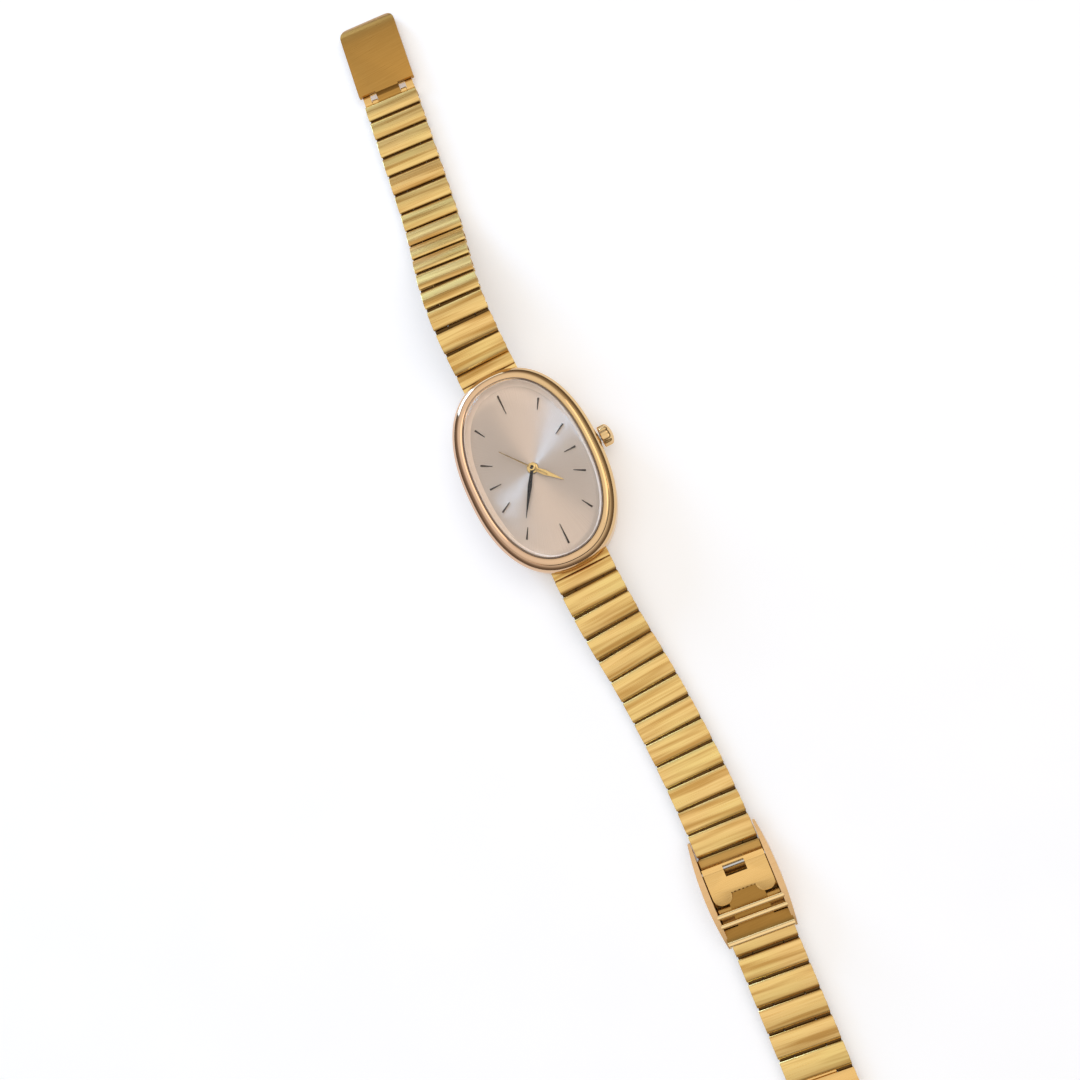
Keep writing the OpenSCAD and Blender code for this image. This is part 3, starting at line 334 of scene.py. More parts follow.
# Mesh helpers. Points are in millimetres, and a finished mesh is in metres.
def finish_mesh(shape, name, material, sharp=38.0, bevel=0.0):
    bmesh.ops.remove_doubles(shape, verts=shape.verts, dist=1e-5)
    bmesh.ops.recalc_face_normals(shape, faces=shape.faces)
    if bevel:
        edges = [e for e in shape.edges if e.is_manifold and e.calc_face_angle(0) > math.radians(sharp)]
        bmesh.ops.bevel(shape, geom=edges, offset=bevel, offset_type="OFFSET", segments=2, profile=0.6,
                        affect="EDGES", clamp_overlap=True)
        bmesh.ops.remove_doubles(shape, verts=shape.verts, dist=1e-5)
    bmesh.ops.scale(shape, vec=(MM, MM, MM), verts=shape.verts)
    mesh = bpy.data.meshes.new(name)
    shape.to_mesh(mesh)
    shape.free()
    mesh.materials.append(material)
    mesh.shade_smooth()
    mesh.set_sharp_from_angle(angle=math.radians(EASED_SHARP if bevel else sharp))
    return mesh


def place_piece(name, mesh, body, *replaced, slot=None):
    piece = new_object(name, mesh)
    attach(piece, body)
    if replaced:
        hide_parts(*replaced)


def bend_power(value, power):
    return math.copysign(abs(value) ** power, value)


def oval(w, l, z):
    power = 2 / OVAL_POWER
    return [(w / 2 * bend_power(math.cos(a), power), l / 2 * bend_power(math.sin(a), power), z)
            for a in (2 * math.pi * k / OVAL_STEPS for k in range(OVAL_STEPS))]


def oval_radius(w, l, degrees):
    a = math.radians(degrees)
    total = abs(2 * math.sin(a) / w) ** OVAL_POWER + abs(2 * math.cos(a) / l) ** OVAL_POWER
    return total ** (-1 / OVAL_POWER)


# Faces through a list of rings. A closed list goes round a ring-shaped piece, and an open one gets two ends.
def skin(shape, rings, ring_shaped=False):
    loops = [[shape.verts.new(point) for point in ring] for ring in rings]
    pairs = list(zip(loops, loops[1:]))
    if ring_shaped:
        pairs.append((loops[-1], loops[0]))
    count = len(rings[0])
    for low, high in pairs:
        for k in range(count):
            n = (k + 1) % count
            shape.faces.new((low[k], low[n], high[n], high[k]))
    if not ring_shaped:
        shape.faces.new(list(reversed(loops[0])))
        shape.faces.new(loops[-1])


# Profiles give how far each ring is set in from the piece's full size, and its height
def ring_stack(w, l, profile):
    return [oval(w - 2 * inset, l - 2 * inset, z) for inset, z in profile]


def subtract(base, cutters, name):
    target = new_object(name, base)
    helpers = []
    for cutter in cutters:
        tool = new_object("cutter", cutter)
        cut = target.modifiers.new("cut", "BOOLEAN")
        cut.operation = "DIFFERENCE"
        cut.solver = "EXACT"
        cut.object = tool
        helpers.append(tool)
    result = applied_mesh(target)
    for helper in helpers + [target]:
        bpy.data.objects.remove(helper)
    result.name = name
    return result


# Outline in Y and Z, drawn out along X
def prism_mesh(outline, low, high):
    shape = bmesh.new()
    ends = [[shape.verts.new((x, y, z)) for y, z in outline] for x in (low, high)]
    count = len(outline)
    for k in range(count):
        n = (k + 1) % count
        shape.faces.new((ends[0][k], ends[0][n], ends[1][n], ends[1][k]))
    shape.faces.new(ends[0])
    shape.faces.new(list(reversed(ends[1])))
    return shape


def notch_cutter(direction):
    hood = math.radians(HOOD_ANGLE)
    reach = CASE_L / 2 - LUG_Y + NOTCH_PAST
    roof = LUG_Z + HOOD_CLEAR / math.cos(hood)
    outline = [(NOTCH_IN_Y, NOTCH_LOW)]
    radius = END_TUBE_R + END_TUBE_CLEAR
    for k in range(NOTCH_STEPS + 1):
        a = math.pi - (math.pi / 2 + hood) * k / NOTCH_STEPS
        outline.append((LUG_Y + radius * math.cos(a), LUG_Z + radius * math.sin(a)))
    outline.append((LUG_Y + reach, roof + reach * math.tan(hood)))
    outline.append((LUG_Y + reach, NOTCH_LOW))
    outline = [(direction * y, z) for y, z in outline]
    return finish_mesh(prism_mesh(outline, -NOTCH_W / 2, NOTCH_W / 2), "notch", CASE_GOLD)


def circle(radius, steps):
    angles = (2 * math.pi * k / steps for k in range(steps))
    return [(radius * math.cos(a), radius * math.sin(a)) for a in angles]


def tube_mesh(radius, start, end):
    shape = bmesh.new()
    skin(shape, [[(x, y, z) for y, z in circle(radius, TUBE_STEPS)] for x in (start, end)])
    return shape


# Profile of radii and heights, turned about an upright axis
def lathe_stack(shape, profile):
    skin(shape, [[(x, y, z) for x, y in circle(radius, LATHE_STEPS)] for radius, z in profile])


# Head of the watch
def make_case():
    arc = math.radians(RIM_ARC)
    outside = [(BAND_DRAW_IN + BAND_UNDER_IN, BAND_LOW)]
    outside += [(BAND_DRAW_IN * (1 - math.sin(a)), BELLY - (BELLY - BAND_LOW) * math.cos(a))
                for a in (math.pi / 2 * k / BAND_STEPS for k in range(BAND_STEPS + 1))]
    outside += [(RIM_IN * (1 - math.cos(a)) / (1 - math.cos(arc)),
                 SHOULDER + (CASE_H - SHOULDER) * math.sin(a) / math.sin(arc))
                for a in (arc * k / RIM_STEPS for k in range(RIM_STEPS + 1))]
    shape = bmesh.new()
    rings = ring_stack(CASE_W, CASE_L, outside)
    play = 2 * SEAT_CLEAR
    for w, l, top, low in ((BEZEL_W + play, BEZEL_L + play, CASE_H, BEZEL_LOW),
                           (DIAL_W + play, DIAL_L + play, BEZEL_LOW, DIAL_LOW),
                           (CAVITY_W, CAVITY_L, DIAL_LOW, BACK_SEAT_Z),
                           (BACK_OPEN_W, BACK_OPEN_L, BACK_SEAT_Z, BAND_LOW)):
        rings += [oval(w, l, top), oval(w, l, low)]
    skin(shape, rings, ring_shaped=True)
    base = finish_mesh(shape, "case", CASE_GOLD)
    stem_hole = finish_mesh(tube_mesh(STEM_HOLE_R, STEM_HOLE_IN, STEM_HOLE_OUT), "stem hole", CASE_GOLD)
    stem_hole.transform(Matrix.Translation((0, 0, STEM_Z * MM)))
    mesh = subtract(base, [notch_cutter(1), notch_cutter(-1), stem_hole], "case")
    mesh.materials.clear()
    mesh.materials.append(CASE_GOLD)
    mesh.shade_smooth()
    mesh.set_sharp_from_angle(angle=math.radians(CASE_SHARP))
    place_piece("case_band", mesh, "case", "case", slot="case_gold")


def make_bezel():
    shape = bmesh.new()
    wide, tall = BEZEL_W - CRYSTAL_W - 2 * GASKET, BEZEL_L - CRYSTAL_L - 2 * GASKET
    crown, steps = BEZEL_CROWN_SHARE, BEZEL_STEPS
    profile = [(0.0, BEZEL_LOW)]
    profile += [(crown * k / steps, BEZEL_TOP - BEZEL_DROP * (1 - k / steps) ** 2) for k in range(steps + 1)]
    profile += [(crown + (1 - crown) * k / steps, BEZEL_TOP - BEZEL_DROP * (k / steps) ** 2)
                for k in range(1, steps + 1)]
    profile.append((1.0, BEZEL_LOW))
    rings = [oval(BEZEL_W - wide * share, BEZEL_L - tall * share, z) for share, z in profile]
    skin(shape, rings, ring_shaped=True)
    place_piece("bezel", finish_mesh(shape, "bezel", CASE_GOLD), "case", "bezel_ring", slot="case_gold")


def make_crystal():
    shape = bmesh.new()
    b, top = CRYSTAL_BEVEL, CRYSTAL_TOP
    profile = [(0.02, CRYSTAL_LOW), (0.0, CRYSTAL_LOW + 0.03), (0.0, top - b - 0.03), (0.03, top - b + 0.02),
               (b, top - 0.14), (b + 0.1, top - 0.08), (b + 0.35, top - 0.02), (b + 0.8, top)]
    skin(shape, ring_stack(CRYSTAL_W, CRYSTAL_L, profile))
    place_piece("crystal_glass", finish_mesh(shape, "crystal", GLASS), "case", "crystal", slot="glass")


def make_dial_ring():
    shape = bmesh.new()
    top, flat = CRYSTAL_LOW - RING_TOP_GAP, 2 * RING_FLAT
    rings = [oval(DIAL_OPEN_W + 2 * out, DIAL_OPEN_L + 2 * out, DIAL_TOP + up) for out, up in RING_SLOPE]
    rings += [oval(DIAL_W - flat, DIAL_L - flat, top), oval(DIAL_W, DIAL_L, top),
              oval(DIAL_W, DIAL_L, DIAL_TOP)]
    skin(shape, rings, ring_shaped=True)
    mesh = finish_mesh(shape, "sloping ring", DIAL_RING_COAT, sharp=50)
    place_piece("sloping_ring", mesh, "case", "dial_ring", slot="case_gold")


def make_dial():
    shape = bmesh.new()
    rings = [oval(DIAL_W, DIAL_L, DIAL_LOW), oval(DIAL_W, DIAL_L, DIAL_TOP - DIAL_EASE),
             oval(DIAL_W - 2 * DIAL_EASE, DIAL_L - 2 * DIAL_EASE, DIAL_TOP)]
    hole = [[(x, y, z) for x, y in circle(DIAL_HOLE_R, OVAL_STEPS)] for z in (DIAL_TOP, DIAL_LOW)]
    skin(shape, rings + hole, ring_shaped=True)
    place_piece("dial_plate", finish_mesh(shape, "dial plate", DIAL), "case", "dial", slot="dial")


# A baton or blade: a long outline in the plane with a ridge along its middle
def ridged_blade(shape, outline, low, edge, ridge, turn):
    c, s = math.cos(math.radians(turn)), math.sin(math.radians(turn))

    def put(x, y, z):
        return shape.verts.new((x * c + y * s, -x * s + y * c, z))

    rows = []
    for y, w in outline:
        x = w / 2
        rows.append([put(-x, y, low), put(-x, y, edge), put(0, y, ridge), put(x, y, edge), put(x, y, low)])
    for a, b in zip(rows, rows[1:]):
        for k in range(5):
            n = (k + 1) % 5
            shape.faces.new((a[k], a[n], b[n], b[k]))
    shape.faces.new(rows[0])
    shape.faces.new(list(reversed(rows[-1])))


def make_markers():
    shape = bmesh.new()
    for hour in range(12):
        long = hour % 6 == 0
        outer = oval_radius(MARKER_RING_W, MARKER_RING_L, 30 * hour) - (MARKER_LONG_IN if long else 0.0)
        length = MARKER_LONG if long else MARKER_SHORT
        outline = [(outer - length, MARKER_INNER_W), (outer - MARKER_END_LEN, MARKER_OUTER_W),
                   (outer, MARKER_END_W)]
        ridged_blade(shape, outline, DIAL_TOP, DIAL_TOP + MARKER_EDGE, DIAL_TOP + MARKER_RIDGE, 30 * hour)
    place_piece("baton_markers", finish_mesh(shape, "baton markers", MARKER_METAL, sharp=15), "case",
                "hour_markers", slot="marker")


def make_hand(name, coat, length, width, low, turn, tail, hub, tube, tube_low):
    shape = bmesh.new()
    top = low + HAND_THICK
    outline = [(-tail, width * 0.55), (0.0, width * 0.6), (length * 0.38, width),
               (length * 0.97, width * 0.12), (length, 0.03)]
    if tail > 1:
        outline = [(-tail, width), (0.0, width * 0.9), (length * 0.98, width * 0.45), (length, width * 0.35)]
    ridged_blade(shape, outline, low, low + HAND_THICK * 0.6, top, turn)
    well = [(hub * out, low + HAND_THICK * up) for out, up in HUB_RINGS]
    lathe_stack(shape, [(tube, tube_low), (tube, low), (hub, low), (hub, low + HAND_THICK * 0.8),
                        (hub - HUB_EASE, top), *well, (0.03, top)])
    mesh = finish_mesh(shape, name, coat, sharp=20)
    # The hub's centre takes the dark coat: painted shade in its well
    mesh.materials.append(HAND_PAINTED_DARK)
    for face in mesh.polygons:
        if all(math.hypot(*mesh.vertices[k].co.xy) < hub * HUB_PAINTED_SHADE * MM for k in face.vertices):
            face.material_index = 1
    place_piece(name + "_blade", mesh, name, name, slot="hand")


def make_crown():
    shape = bmesh.new()
    steps = CROWN_GROOVES * CROWN_GROOVE_STEPS
    dome = CROWN_LEN * CROWN_DOME
    big = CROWN_R
    profile = [(big - 0.5, 0.0, 0.0), (big - 0.25, 0.0, 0.0), (big - 0.09, 0.06, 0.4),
               (big - 0.01, 0.18, 1.0), (big - 0.01, CROWN_LEN - dome, 1.0)]
    profile += [(big * math.cos(a), CROWN_LEN - dome + dome * math.sin(a), max(0.0, math.cos(a) * 1.3 - 0.3))
                for a in (math.pi / 2 * k / CROWN_DOME_STEPS for k in range(1, CROWN_DOME_STEPS))]
    profile.append((0.05, CROWN_LEN, 0.0))
    rings = []
    for radius, x, depth in profile:
        ring = []
        for k in range(steps):
            a = 2 * math.pi * k / steps
            dip = CROWN_GROOVE_DEEP * depth * (0.5 - 0.5 * math.cos(CROWN_GROOVES * a)) ** 1.2
            r = radius - dip * radius / CROWN_R
            ring.append((CROWN_X + x, r * math.cos(a), STEM_Z + r * math.sin(a)))
        rings.append(ring)
    skin(shape, rings)
    place_piece("fluted_crown", finish_mesh(shape, "fluted crown", CASE_GOLD, sharp=50), "crown", "crown",
                slot="case_gold")


def make_head():
    make_case()
    make_bezel()
    make_crystal()
    make_dial_ring()
    make_dial()
    make_markers()
    make_hand("hour_hand", HAND_GOLD, length=5.1, width=0.8, low=5.25, turn=137.5, tail=0.0,
              hub=0.82, tube=0.82, tube_low=4.65)
    # The minute hand is painted dark for the dark reflection it shows
    make_hand("minute_hand", HAND_PAINTED_DARK, length=7.6, width=0.62, low=5.5, turn=212.0, tail=0.0,
              hub=0.5, tube=0.5, tube_low=4.25)
    make_hand("second_hand", HAND_GOLD, length=5.6, width=0.24, low=5.75, turn=322.0, tail=2.4,
              hub=0.5, tube=0.2, tube_low=4.05)
    make_crown()


# Bracelet
def link_top(start, end, curled=True):
    points = []
    for k in range(LINK_TOP_STEPS + 1):
        u = k / LINK_TOP_STEPS
        y = start + (end - start) * u
        curl = FAR_CURL * max(0.0, 1 - (end - y) / CURL_REACH) ** 2 if curled else 0.0
        points.append((y, EDGE_Z + CREST * math.sin(math.pi * u ** CREST_SKEW) - curl))
    return points


def link_outline(last=False):
    inner, under = GROOVE / 2, EDGE_Z - SHEET
    outer = PITCH - (BODY_SET - LAST_EDGE_LAP if last else GROOVE / 2)
    wall_in, wall_out = BODY_SET, PITCH - BODY_SET
    slit_in, slit_out = PITCH / 2 + SLIT_HALF, PITCH / 2 - SLIT_HALF
    return link_top(inner, outer, not last) + [
        (outer, under), (wall_out, under), (wall_out, -BELLY_Z), (slit_in, -BELLY_Z),
        (slit_in, SHEET - BELLY_Z), (wall_out - SHEET, SHEET - BELLY_Z), (wall_out - SHEET, under),
        (wall_in + SHEET, under), (wall_in + SHEET, SHEET - BELLY_Z), (slit_out, SHEET - BELLY_Z),
        (slit_out, -BELLY_Z), (wall_in, -BELLY_Z), (wall_in, under), (inner, under)]


def end_link_outline():
    inner, outer, wall_out = END_TUBE_R / 2, END_PITCH - GROOVE / 2, END_PITCH - BODY_SET
    root, seen = EDGE_Z - END_ROOT_DROP, CASE_L / 2 - LUG_Y + END_COVERED
    return [(inner, root), (seen, root)] + link_top(seen, outer) + [
        (outer, EDGE_Z - SHEET), (wall_out, EDGE_Z - SHEET), (wall_out, -BELLY_Z), (inner, -BELLY_Z)]


# Geometry Nodes draw a folded sheet's outline out to the link's width, add its barrels and its pin,
# and lay as many links end to end as the body holds
def link_tree():
    tree = bpy.data.node_groups.new("Bracelet link", "GeometryNodeTree")
    tree.is_modifier = True
    interface = tree.interface
    interface.new_socket("Outline", in_out="INPUT", socket_type="NodeSocketGeometry")
    sizes = (("Width", STRAP_W), ("Pitch", PITCH), ("Barrel radius", BARREL_R), ("Pin radius", PIN_R),
             ("Middle barrel width", MIDDLE_W), ("Outer barrel start", MIDDLE_W / 2 + SIDE_CLEAR),
             ("Outer barrel end", STRAP_W / 2 - SIDE_CLEAR), ("Web length", BODY_SET + SHEET / 2),
             ("Web thickness", WEB_T))
    for name, value in sizes:
        interface.new_socket(name, in_out="INPUT", socket_type="NodeSocketFloat").default_value = value * MM
    interface.new_socket("Links", in_out="INPUT", socket_type="NodeSocketInt").default_value = 1
    interface.new_socket("Finish", in_out="INPUT", socket_type="NodeSocketMaterial")
    interface.new_socket("Hinge finish", in_out="INPUT", socket_type="NodeSocketMaterial")
    interface.new_socket("Links", in_out="OUTPUT", socket_type="NodeSocketGeometry")
    given = add(tree, "NodeGroupInput").outputs
    result = add(tree, "NodeGroupOutput")

    def vector(x, y, z):
        return add(tree, "ShaderNodeCombineXYZ", {0: x, 1: y, 2: z}).outputs[0]

    def barrel(radius, width, x, y):
        tube = add(tree, "GeometryNodeMeshCylinder",
                   {"Vertices": BARREL_STEPS, "Radius": radius, "Depth": width})
        return add(tree, "GeometryNodeTransform",
                   {"Geometry": tube.outputs["Mesh"], "Translation": vector(x, y, 0.0),
                    "Rotation": (0.0, math.pi / 2, 0.0)}).outputs[0]

    def web(width, x, y):
        size = vector(width, given["Web length"], given["Web thickness"])
        block = add(tree, "GeometryNodeMeshCube", {"Size": size})
        return add(tree, "GeometryNodeTransform",
                   {"Geometry": block.outputs["Mesh"], "Translation": vector(x, y, 0.0)}).outputs[0]

    def join(*pieces):
        made = add(tree, "GeometryNodeJoinGeometry")
        for piece in pieces:
            tree.links.new(piece, made.inputs[0])
        return made.outputs[0]

    def coated(piece, finish):
        return add(tree, "GeometryNodeSetMaterial", {"Geometry": piece, "Material": given[finish]}).outputs[0]

    drawn = add(tree, "GeometryNodeExtrudeMesh",
                {"Mesh": given["Outline"], "Offset": vector(given["Width"], 0.0, 0.0), "Offset Scale": 1.0,
                 "Individual": False}, mode="FACES")
    start_cap = add(tree, "GeometryNodeFlipFaces", {"Mesh": given["Outline"]})
    sheet = join(drawn.outputs["Mesh"], start_cap.outputs[0])
    merged = add(tree, "GeometryNodeMergeByDistance", {"Geometry": sheet, "Distance": 1e-6})
    centred = add(tree, "GeometryNodeTransform",
                  {"Geometry": merged.outputs[0],
                   "Translation": vector(maths(tree, "MULTIPLY", given["Width"], -0.5), 0.0, 0.0)})

    outer_w = maths(tree, "SUBTRACT", given["Outer barrel end"], given["Outer barrel start"])
    outer_x = maths(tree, "MULTIPLY_ADD", outer_w, 0.5, given["Outer barrel start"])
    other_x = maths(tree, "MULTIPLY", outer_x, -1.0)
    inner_y = maths(tree, "MULTIPLY", given["Web length"], 0.5)
    outer_y = maths(tree, "SUBTRACT", given["Pitch"], inner_y)
    pin_w = maths(tree, "SUBTRACT", given["Width"], PIN_SHORT * MM)
    hinges = join(barrel(given["Barrel radius"], given["Middle barrel width"], 0.0, 0.0),
                  web(given["Middle barrel width"], 0.0, inner_y),
                  barrel(given["Barrel radius"], outer_w, outer_x, given["Pitch"]),
                  barrel(given["Barrel radius"], outer_w, other_x, given["Pitch"]),
                  web(outer_w, outer_x, outer_y), web(outer_w, other_x, outer_y),
                  barrel(given["Pin radius"], pin_w, 0.0, given["Pitch"]))
    whole = join(coated(centred.outputs[0], "Finish"), coated(hinges, "Hinge finish"))
    row = add(tree, "GeometryNodeMeshLine",
              {"Count": given["Links"], "Offset": vector(0.0, given["Pitch"], 0.0)})
    copies = add(tree, "GeometryNodeInstanceOnPoints", {"Points": row.outputs[0], "Instance": whole})
    real = add(tree, "GeometryNodeRealizeInstances", {"Geometry": copies.outputs[0]})
    tree.links.new(real.outputs[0], result.inputs[0])
    return tree


def set_inputs(modifier, values):
    for item in modifier.node_group.interface.items_tree:
        if item.item_type == "SOCKET" and item.in_out == "INPUT" and item.name in values:
            modifier[item.identifier] = values[item.name]


# Runs the link tree on one outline and returns a plain mesh in the link's own frame
def link_mesh(name, outline, **sizes):
    host_mesh = bpy.data.meshes.new(name)
    points = [(0.0, y * MM, z * MM) for y, z in outline]
    host_mesh.from_pydata(points, [], [list(range(len(points)))])
    host = new_object(name, host_mesh)
    build = host.modifiers.new("link", "NODES")
    build.node_group = LINK_TREE
    values = {key.replace("_", " ").capitalize(): value for key, value in sizes.items()}
    values["Finish"], values["Hinge finish"] = LINK_GOLD, HINGE_SHADE_GOLD
    set_inputs(build, values)
    soft = host.modifiers.new("soft edges", "BEVEL")
    soft.width = LINK_EASE * MM
    soft.segments = 2
    soft.limit_method = "ANGLE"
    soft.angle_limit = math.radians(LINK_EASE_FROM)
    mesh = applied_mesh(host)
    bpy.data.objects.remove(host)
    shape = bmesh.new()
    shape.from_mesh(mesh)
    bmesh.ops.recalc_face_normals(shape, faces=shape.faces)
    for layer in list(shape.loops.layers.uv.values()):
        shape.loops.layers.uv.remove(layer)
    places = shape.loops.layers.uv.new("Link place")
    for face in shape.faces:
        for corner in face.loops:
            corner[places].uv = (corner.vert.co.x / MM, corner.vert.co.y / MM)
    shape.to_mesh(mesh)
    shape.free()
    mesh.shade_smooth()
    mesh.set_sharp_from_angle(angle=math.radians(EASED_SHARP))
    return mesh


LINK_TREE = link_tree()


# Matrix of a link from its own hinge to the next one. Side is 1 above the case and -1 below it.
def link_place(child, following, side):
    start = Vector(joint_of[child]["pos_m"])
    end = Vector(joint_of[following]["pos_m"])
    across = Vector(joint_of[following]["axis"]) * side
    along = (end - start).normalized()
    up = across.cross(along)
    return Matrix.Translation(start) @ Matrix((across, along, up)).transposed().to_4x4()


# Faces that carry the old coat get the new one where the test on their centres says so
def recoat(mesh, old, new, choose):
    place = list(mesh.materials).index(old)
    mesh.materials.append(new)
    for face in mesh.polygons:
        if face.material_index == place and choose(face.center):
            face.material_index = len(mesh.materials) - 1


def lay_link(name, mesh, matrix, tone):
    laid = mesh.copy()
    for corner in laid.uv_layers["Link place"].data:
        corner.uv = (corner.uv[0] + TONE_SHIFT[0] * tone, corner.uv[1] + TONE_SHIFT[1] * tone)
    laid.transform(matrix)
    place_piece(name + "_sheet", laid, name, name, slot="strap_gold")


def make_bracelet():
    upper = ["upper_link_%d" % i for i in range(1, UPPER_LINKS + 1)] + ["cover_plate"]
    lower = ["lower_link_%d" % i for i in range(1, LOWER_LINKS + 1)] + ["buckle_links"]
    tail = ["tail_link_%d" % i for i in range(1, TAIL_LINKS + 1)]
    common = link_mesh("link", link_outline())
    last = link_mesh("last link", link_outline(True), outer_barrel_start=LAST_BARREL_X * MM,
                     outer_barrel_end=(LAST_BARREL_X + LAST_BARREL_W) * MM)
    first = link_mesh("end link", end_link_outline(), pitch=END_PITCH * MM,
                      middle_barrel_width=(STRAP_W - PIN_SHORT) * MM)
    row = link_mesh("buckle links", link_outline(), links=BUCKLE_LINKS)
    # The links hidden under the buckle take a darker copy of the link gold: painted shade
    recoat(row, LINK_GOLD, SHADED_GOLD, lambda at: at.y < COVERED_LINKS * PITCH * MM)
    recoat(last, HINGE_SHADE_GOLD, STRAP_GOLD, lambda at: at.y > PITCH * MM / 2)
    for names, side in ((upper, 1), (lower, -1)):
        for place, (name, following) in enumerate(zip(names, names[1:])):
            mesh = first if place == 0 else last if following == "cover_plate" else common
            lay_link(name, mesh, link_place(name, following, side), place + HALF_TONE * side)
    lay_link("buckle_links", row, link_place("buckle_links", "tail_link_1", -1), BUCKLE_TONE)
    for place, (name, following) in enumerate(zip(tail, tail[1:])):
        lay_link(name, common, link_place(name, following, -1), place + TAIL_TONE)


# Pieces whose CAD shape is right get a copy with eased edges
def ease_edges(name, material, width=0.06, coats=(), choose=None):
    shape = bmesh.new()
    shape.from_mesh(nodes[name].data)
    bmesh.ops.scale(shape, vec=(1 / MM, 1 / MM, 1 / MM), verts=shape.verts)
    bmesh.ops.remove_doubles(shape, verts=shape.verts, dist=1e-4)
    bmesh.ops.dissolve_limit(shape, angle_limit=math.radians(1.0), verts=shape.verts, edges=shape.edges)
    mesh = finish_mesh(shape, name, material, EASE_FROM, width)
    for coat in coats:
        mesh.materials.append(coat)
    if choose:
        for face in mesh.polygons:
            face.material_index = choose([mesh.vertices[k].co for k in face.vertices])
    place_piece(name + "_eased", mesh, name, name, slot="strap_gold")


# The buckle's finishes in the order of its coats: rails, ramp and tongue in painted shade, bars and lip, the
# lock plate's pin
RAIL, RAMP, BAR, LOCK_PIN = range(4)


def buckle_finish(corners):
    to_link = link_place("buckle_links", "tail_link_1", -1).inverted()
    inside = [to_link @ corner / MM for corner in corners]
    if all(math.hypot(y - LOCK_PIN_Y, z - LOCK_PIN_Z) < LOCK_PIN_REACH for x, y, z in inside):
        return LOCK_PIN
    x, y, z = sum(inside, Vector((0, 0, 0))) / len(inside)
    if abs(x) > STRAP_W / 2 + RAIL_GAP:
        return RAIL
    return BAR if z > BAR_LOW_Z else RAMP


def make_buckle():
    ease_edges("cover_plate", COVER_SHADE_GOLD, width=0.12)
    ease_edges("hook_leaf", STRAP_GOLD)
    ease_edges("clasp_frame", RAIL_GOLD, width=0.08, coats=(RAMP_SHADE_GOLD, BRIGHT_GOLD, STEEL),
               choose=buckle_finish)
    ease_edges("lock_plate", STRAP_GOLD)
    ease_edges("tail_link_%d" % TAIL_LINKS, STRAP_GOLD, width=0.05)


def coat_nodes():
    coats = {"case_back": STEEL, "back_gasket": SEAL, "crystal_gasket": GASKET_SHADE_COAT,
             "movement_plate": MOVEMENT_BRASS, "movement_holder": NYLON, "battery": STEEL,
             # The stem tube takes the ramp's dark gold: painted shade in the gap by the crown
             "motor_coil": COPPER, "winding_stem": STEEL, "clutch_pinion": STEEL, "stem_tube": RAMP_SHADE_GOLD,
             "spring_bars": STEEL}
    for name, coat in coats.items():
        slots = nodes[name].data.materials
        if len(slots) == 0:
            slots.append(coat)
        for place in range(len(slots)):
            slots[place] = coat


# Camera, floor and light
def make_camera():
    data = bpy.data.cameras.new("camera")
    data.sensor_fit = "HORIZONTAL"
    data.angle = 2 * math.atan(CAMERA_HALF_FRAME / CAMERA_FOCUS)
    data.clip_start = 0.005
    camera = new_object("camera", data)
    turn = Matrix(((0.88853, 0.44901, 0.09439), (-0.42342, 0.88168, -0.20824), (-0.17672, 0.14506, 0.97351)))
    camera.matrix_world = Matrix.Translation(Vector((10.851, -42.169, 154.798)) * MM) @ turn.to_4x4()
    bpy.context.scene.camera = camera


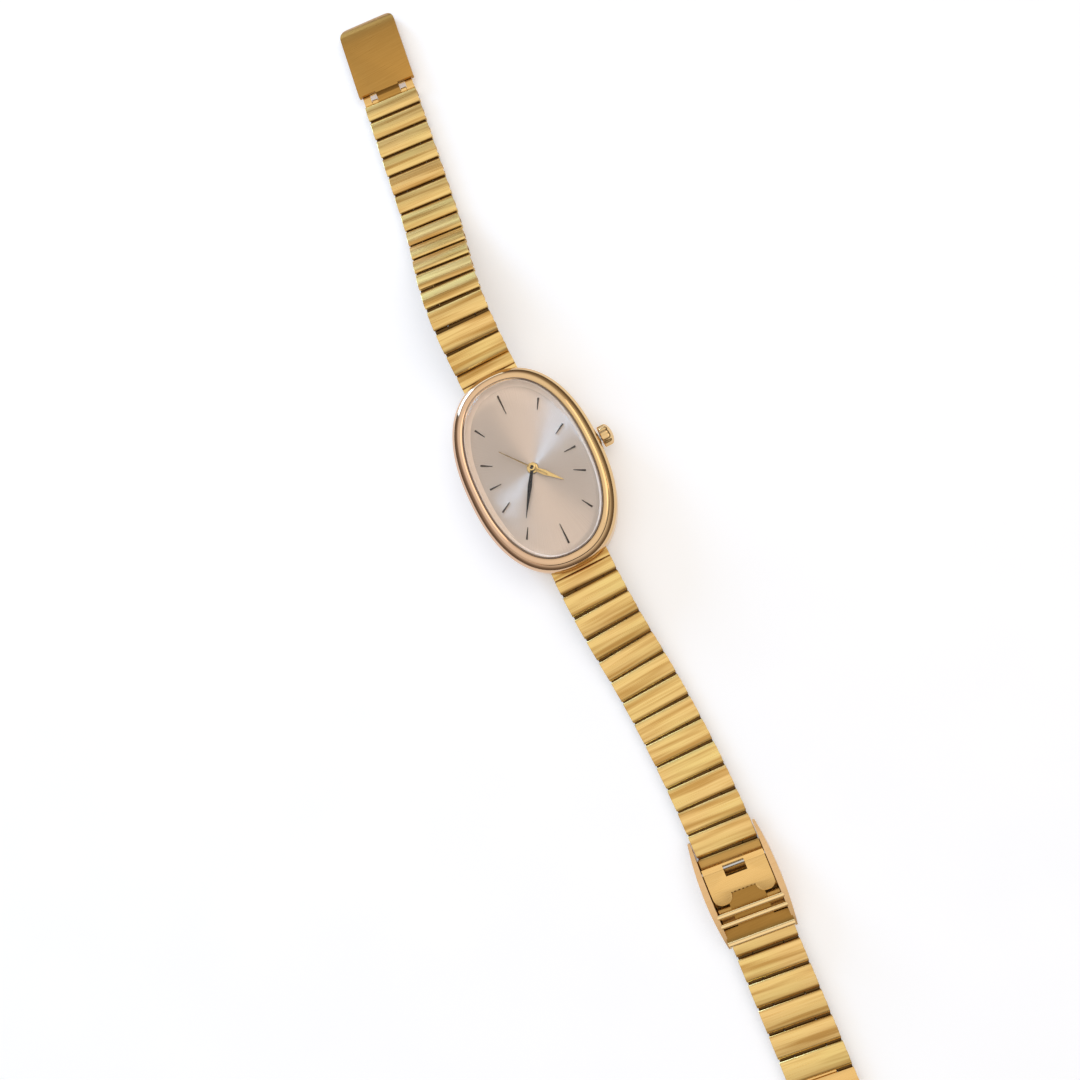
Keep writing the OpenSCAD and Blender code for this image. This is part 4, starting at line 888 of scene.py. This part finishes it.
def make_floor():
    mesh = bpy.data.meshes.new("floor")
    corners = [(x * FLOOR_HALF, y * FLOOR_HALF, 0) for x, y in ((-1, -1), (1, -1), (1, 1), (-1, 1))]
    mesh.from_pydata(corners, [], [(0, 1, 2, 3)])
    material, tree, shader = new_material("Pale floor")
    grain = add(tree, "ShaderNodeTexNoise",
                {"Vector": add(tree, "ShaderNodeTexCoord").outputs["Object"], "Scale": 60.0, "Detail": 2.0})
    pale = blend_colours(tree, grain.outputs[0], (0.85, 0.86, 0.88, 1), (0.89, 0.90, 0.92, 1))
    feed(tree, shader, {"Base Color": pale, "Roughness": 0.7})
    path = add(tree, "ShaderNodeLightPath")
    seen = maths(tree, "MAXIMUM", path.outputs["Is Camera Ray"], path.outputs["Is Transmission Ray"])
    seen = maths(tree, "MAXIMUM", seen, path.outputs["Is Glossy Ray"])
    strength = maths(tree, "MULTIPLY", seen, FLOOR_LIFT)
    lift = add(tree, "ShaderNodeEmission", {"Color": (1, 1, 1, 1), "Strength": strength})
    both = add(tree, "ShaderNodeAddShader", {0: shader.outputs[0], 1: lift.outputs[0]})
    tree.links.new(both.outputs[0], tree.nodes["Material Output"].inputs[0])
    mesh.materials.append(material)
    floor = new_object("floor", mesh)


# Lamps face the watch, which stands at the origin
def area_light(name, place, size, power, colour):
    data = bpy.data.lights.new(name, "AREA")
    data.shape = "RECTANGLE"
    data.size, data.size_y = size
    data.energy = power
    data.color = colour
    light = new_object(name, data)
    aim = (-Vector(place)).to_track_quat("-Z", "Y").to_matrix().to_4x4()
    light.matrix_world = Matrix.Translation(place) @ aim


def make_light():
    world = bpy.data.worlds.new("studio")
    bpy.context.scene.world = world
    world.use_nodes = True
    tree = world.node_tree
    ground = tree.nodes["Background"]
    place = add(tree, "ShaderNodeTexCoord")
    parts = add(tree, "ShaderNodeSeparateXYZ", {0: place.outputs["Generated"]})
    sky = add(tree, "ShaderNodeValToRGB", {0: parts.outputs[2]})
    stops = ((0.0, (0.10, 0.08, 0.06, 1)), (0.42, (0.24, 0.20, 0.17, 1)), (0.64, (0.62, 0.58, 0.54, 1)),
             (0.80, (0.90, 0.87, 0.83, 1)), (0.92, (1.02, 0.99, 0.96, 1)), (1.0, (1.06, 1.03, 1.0, 1)))
    ramp = sky.color_ramp
    while len(ramp.elements) < len(stops):
        ramp.elements.new(0.5)
    for element, (at, colour) in zip(ramp.elements, stops):
        element.position, element.color = at, colour
    tree.links.new(sky.outputs[0], ground.inputs["Color"])
    ground.inputs["Strength"].default_value = 1.0
    area_light("warm lamp", (0.42, 0.13, 0.67), (0.45, 0.45), 0.6, (1.0, 0.80, 0.62))
    area_light("cool lamp", (-0.43, 0.84, 0.26), (0.36, 0.34), 5.4, (0.36, 0.62, 1.0))
    area_light("cool strip", (-0.15, 0.94, 0.28), (0.50, 0.34), 0.9, (0.60, 0.80, 1.0))


make_camera()
make_head()
make_bracelet()
make_buckle()
coat_nodes()
make_floor()
make_light()
bpy.context.scene.view_settings.view_transform = "Standard"
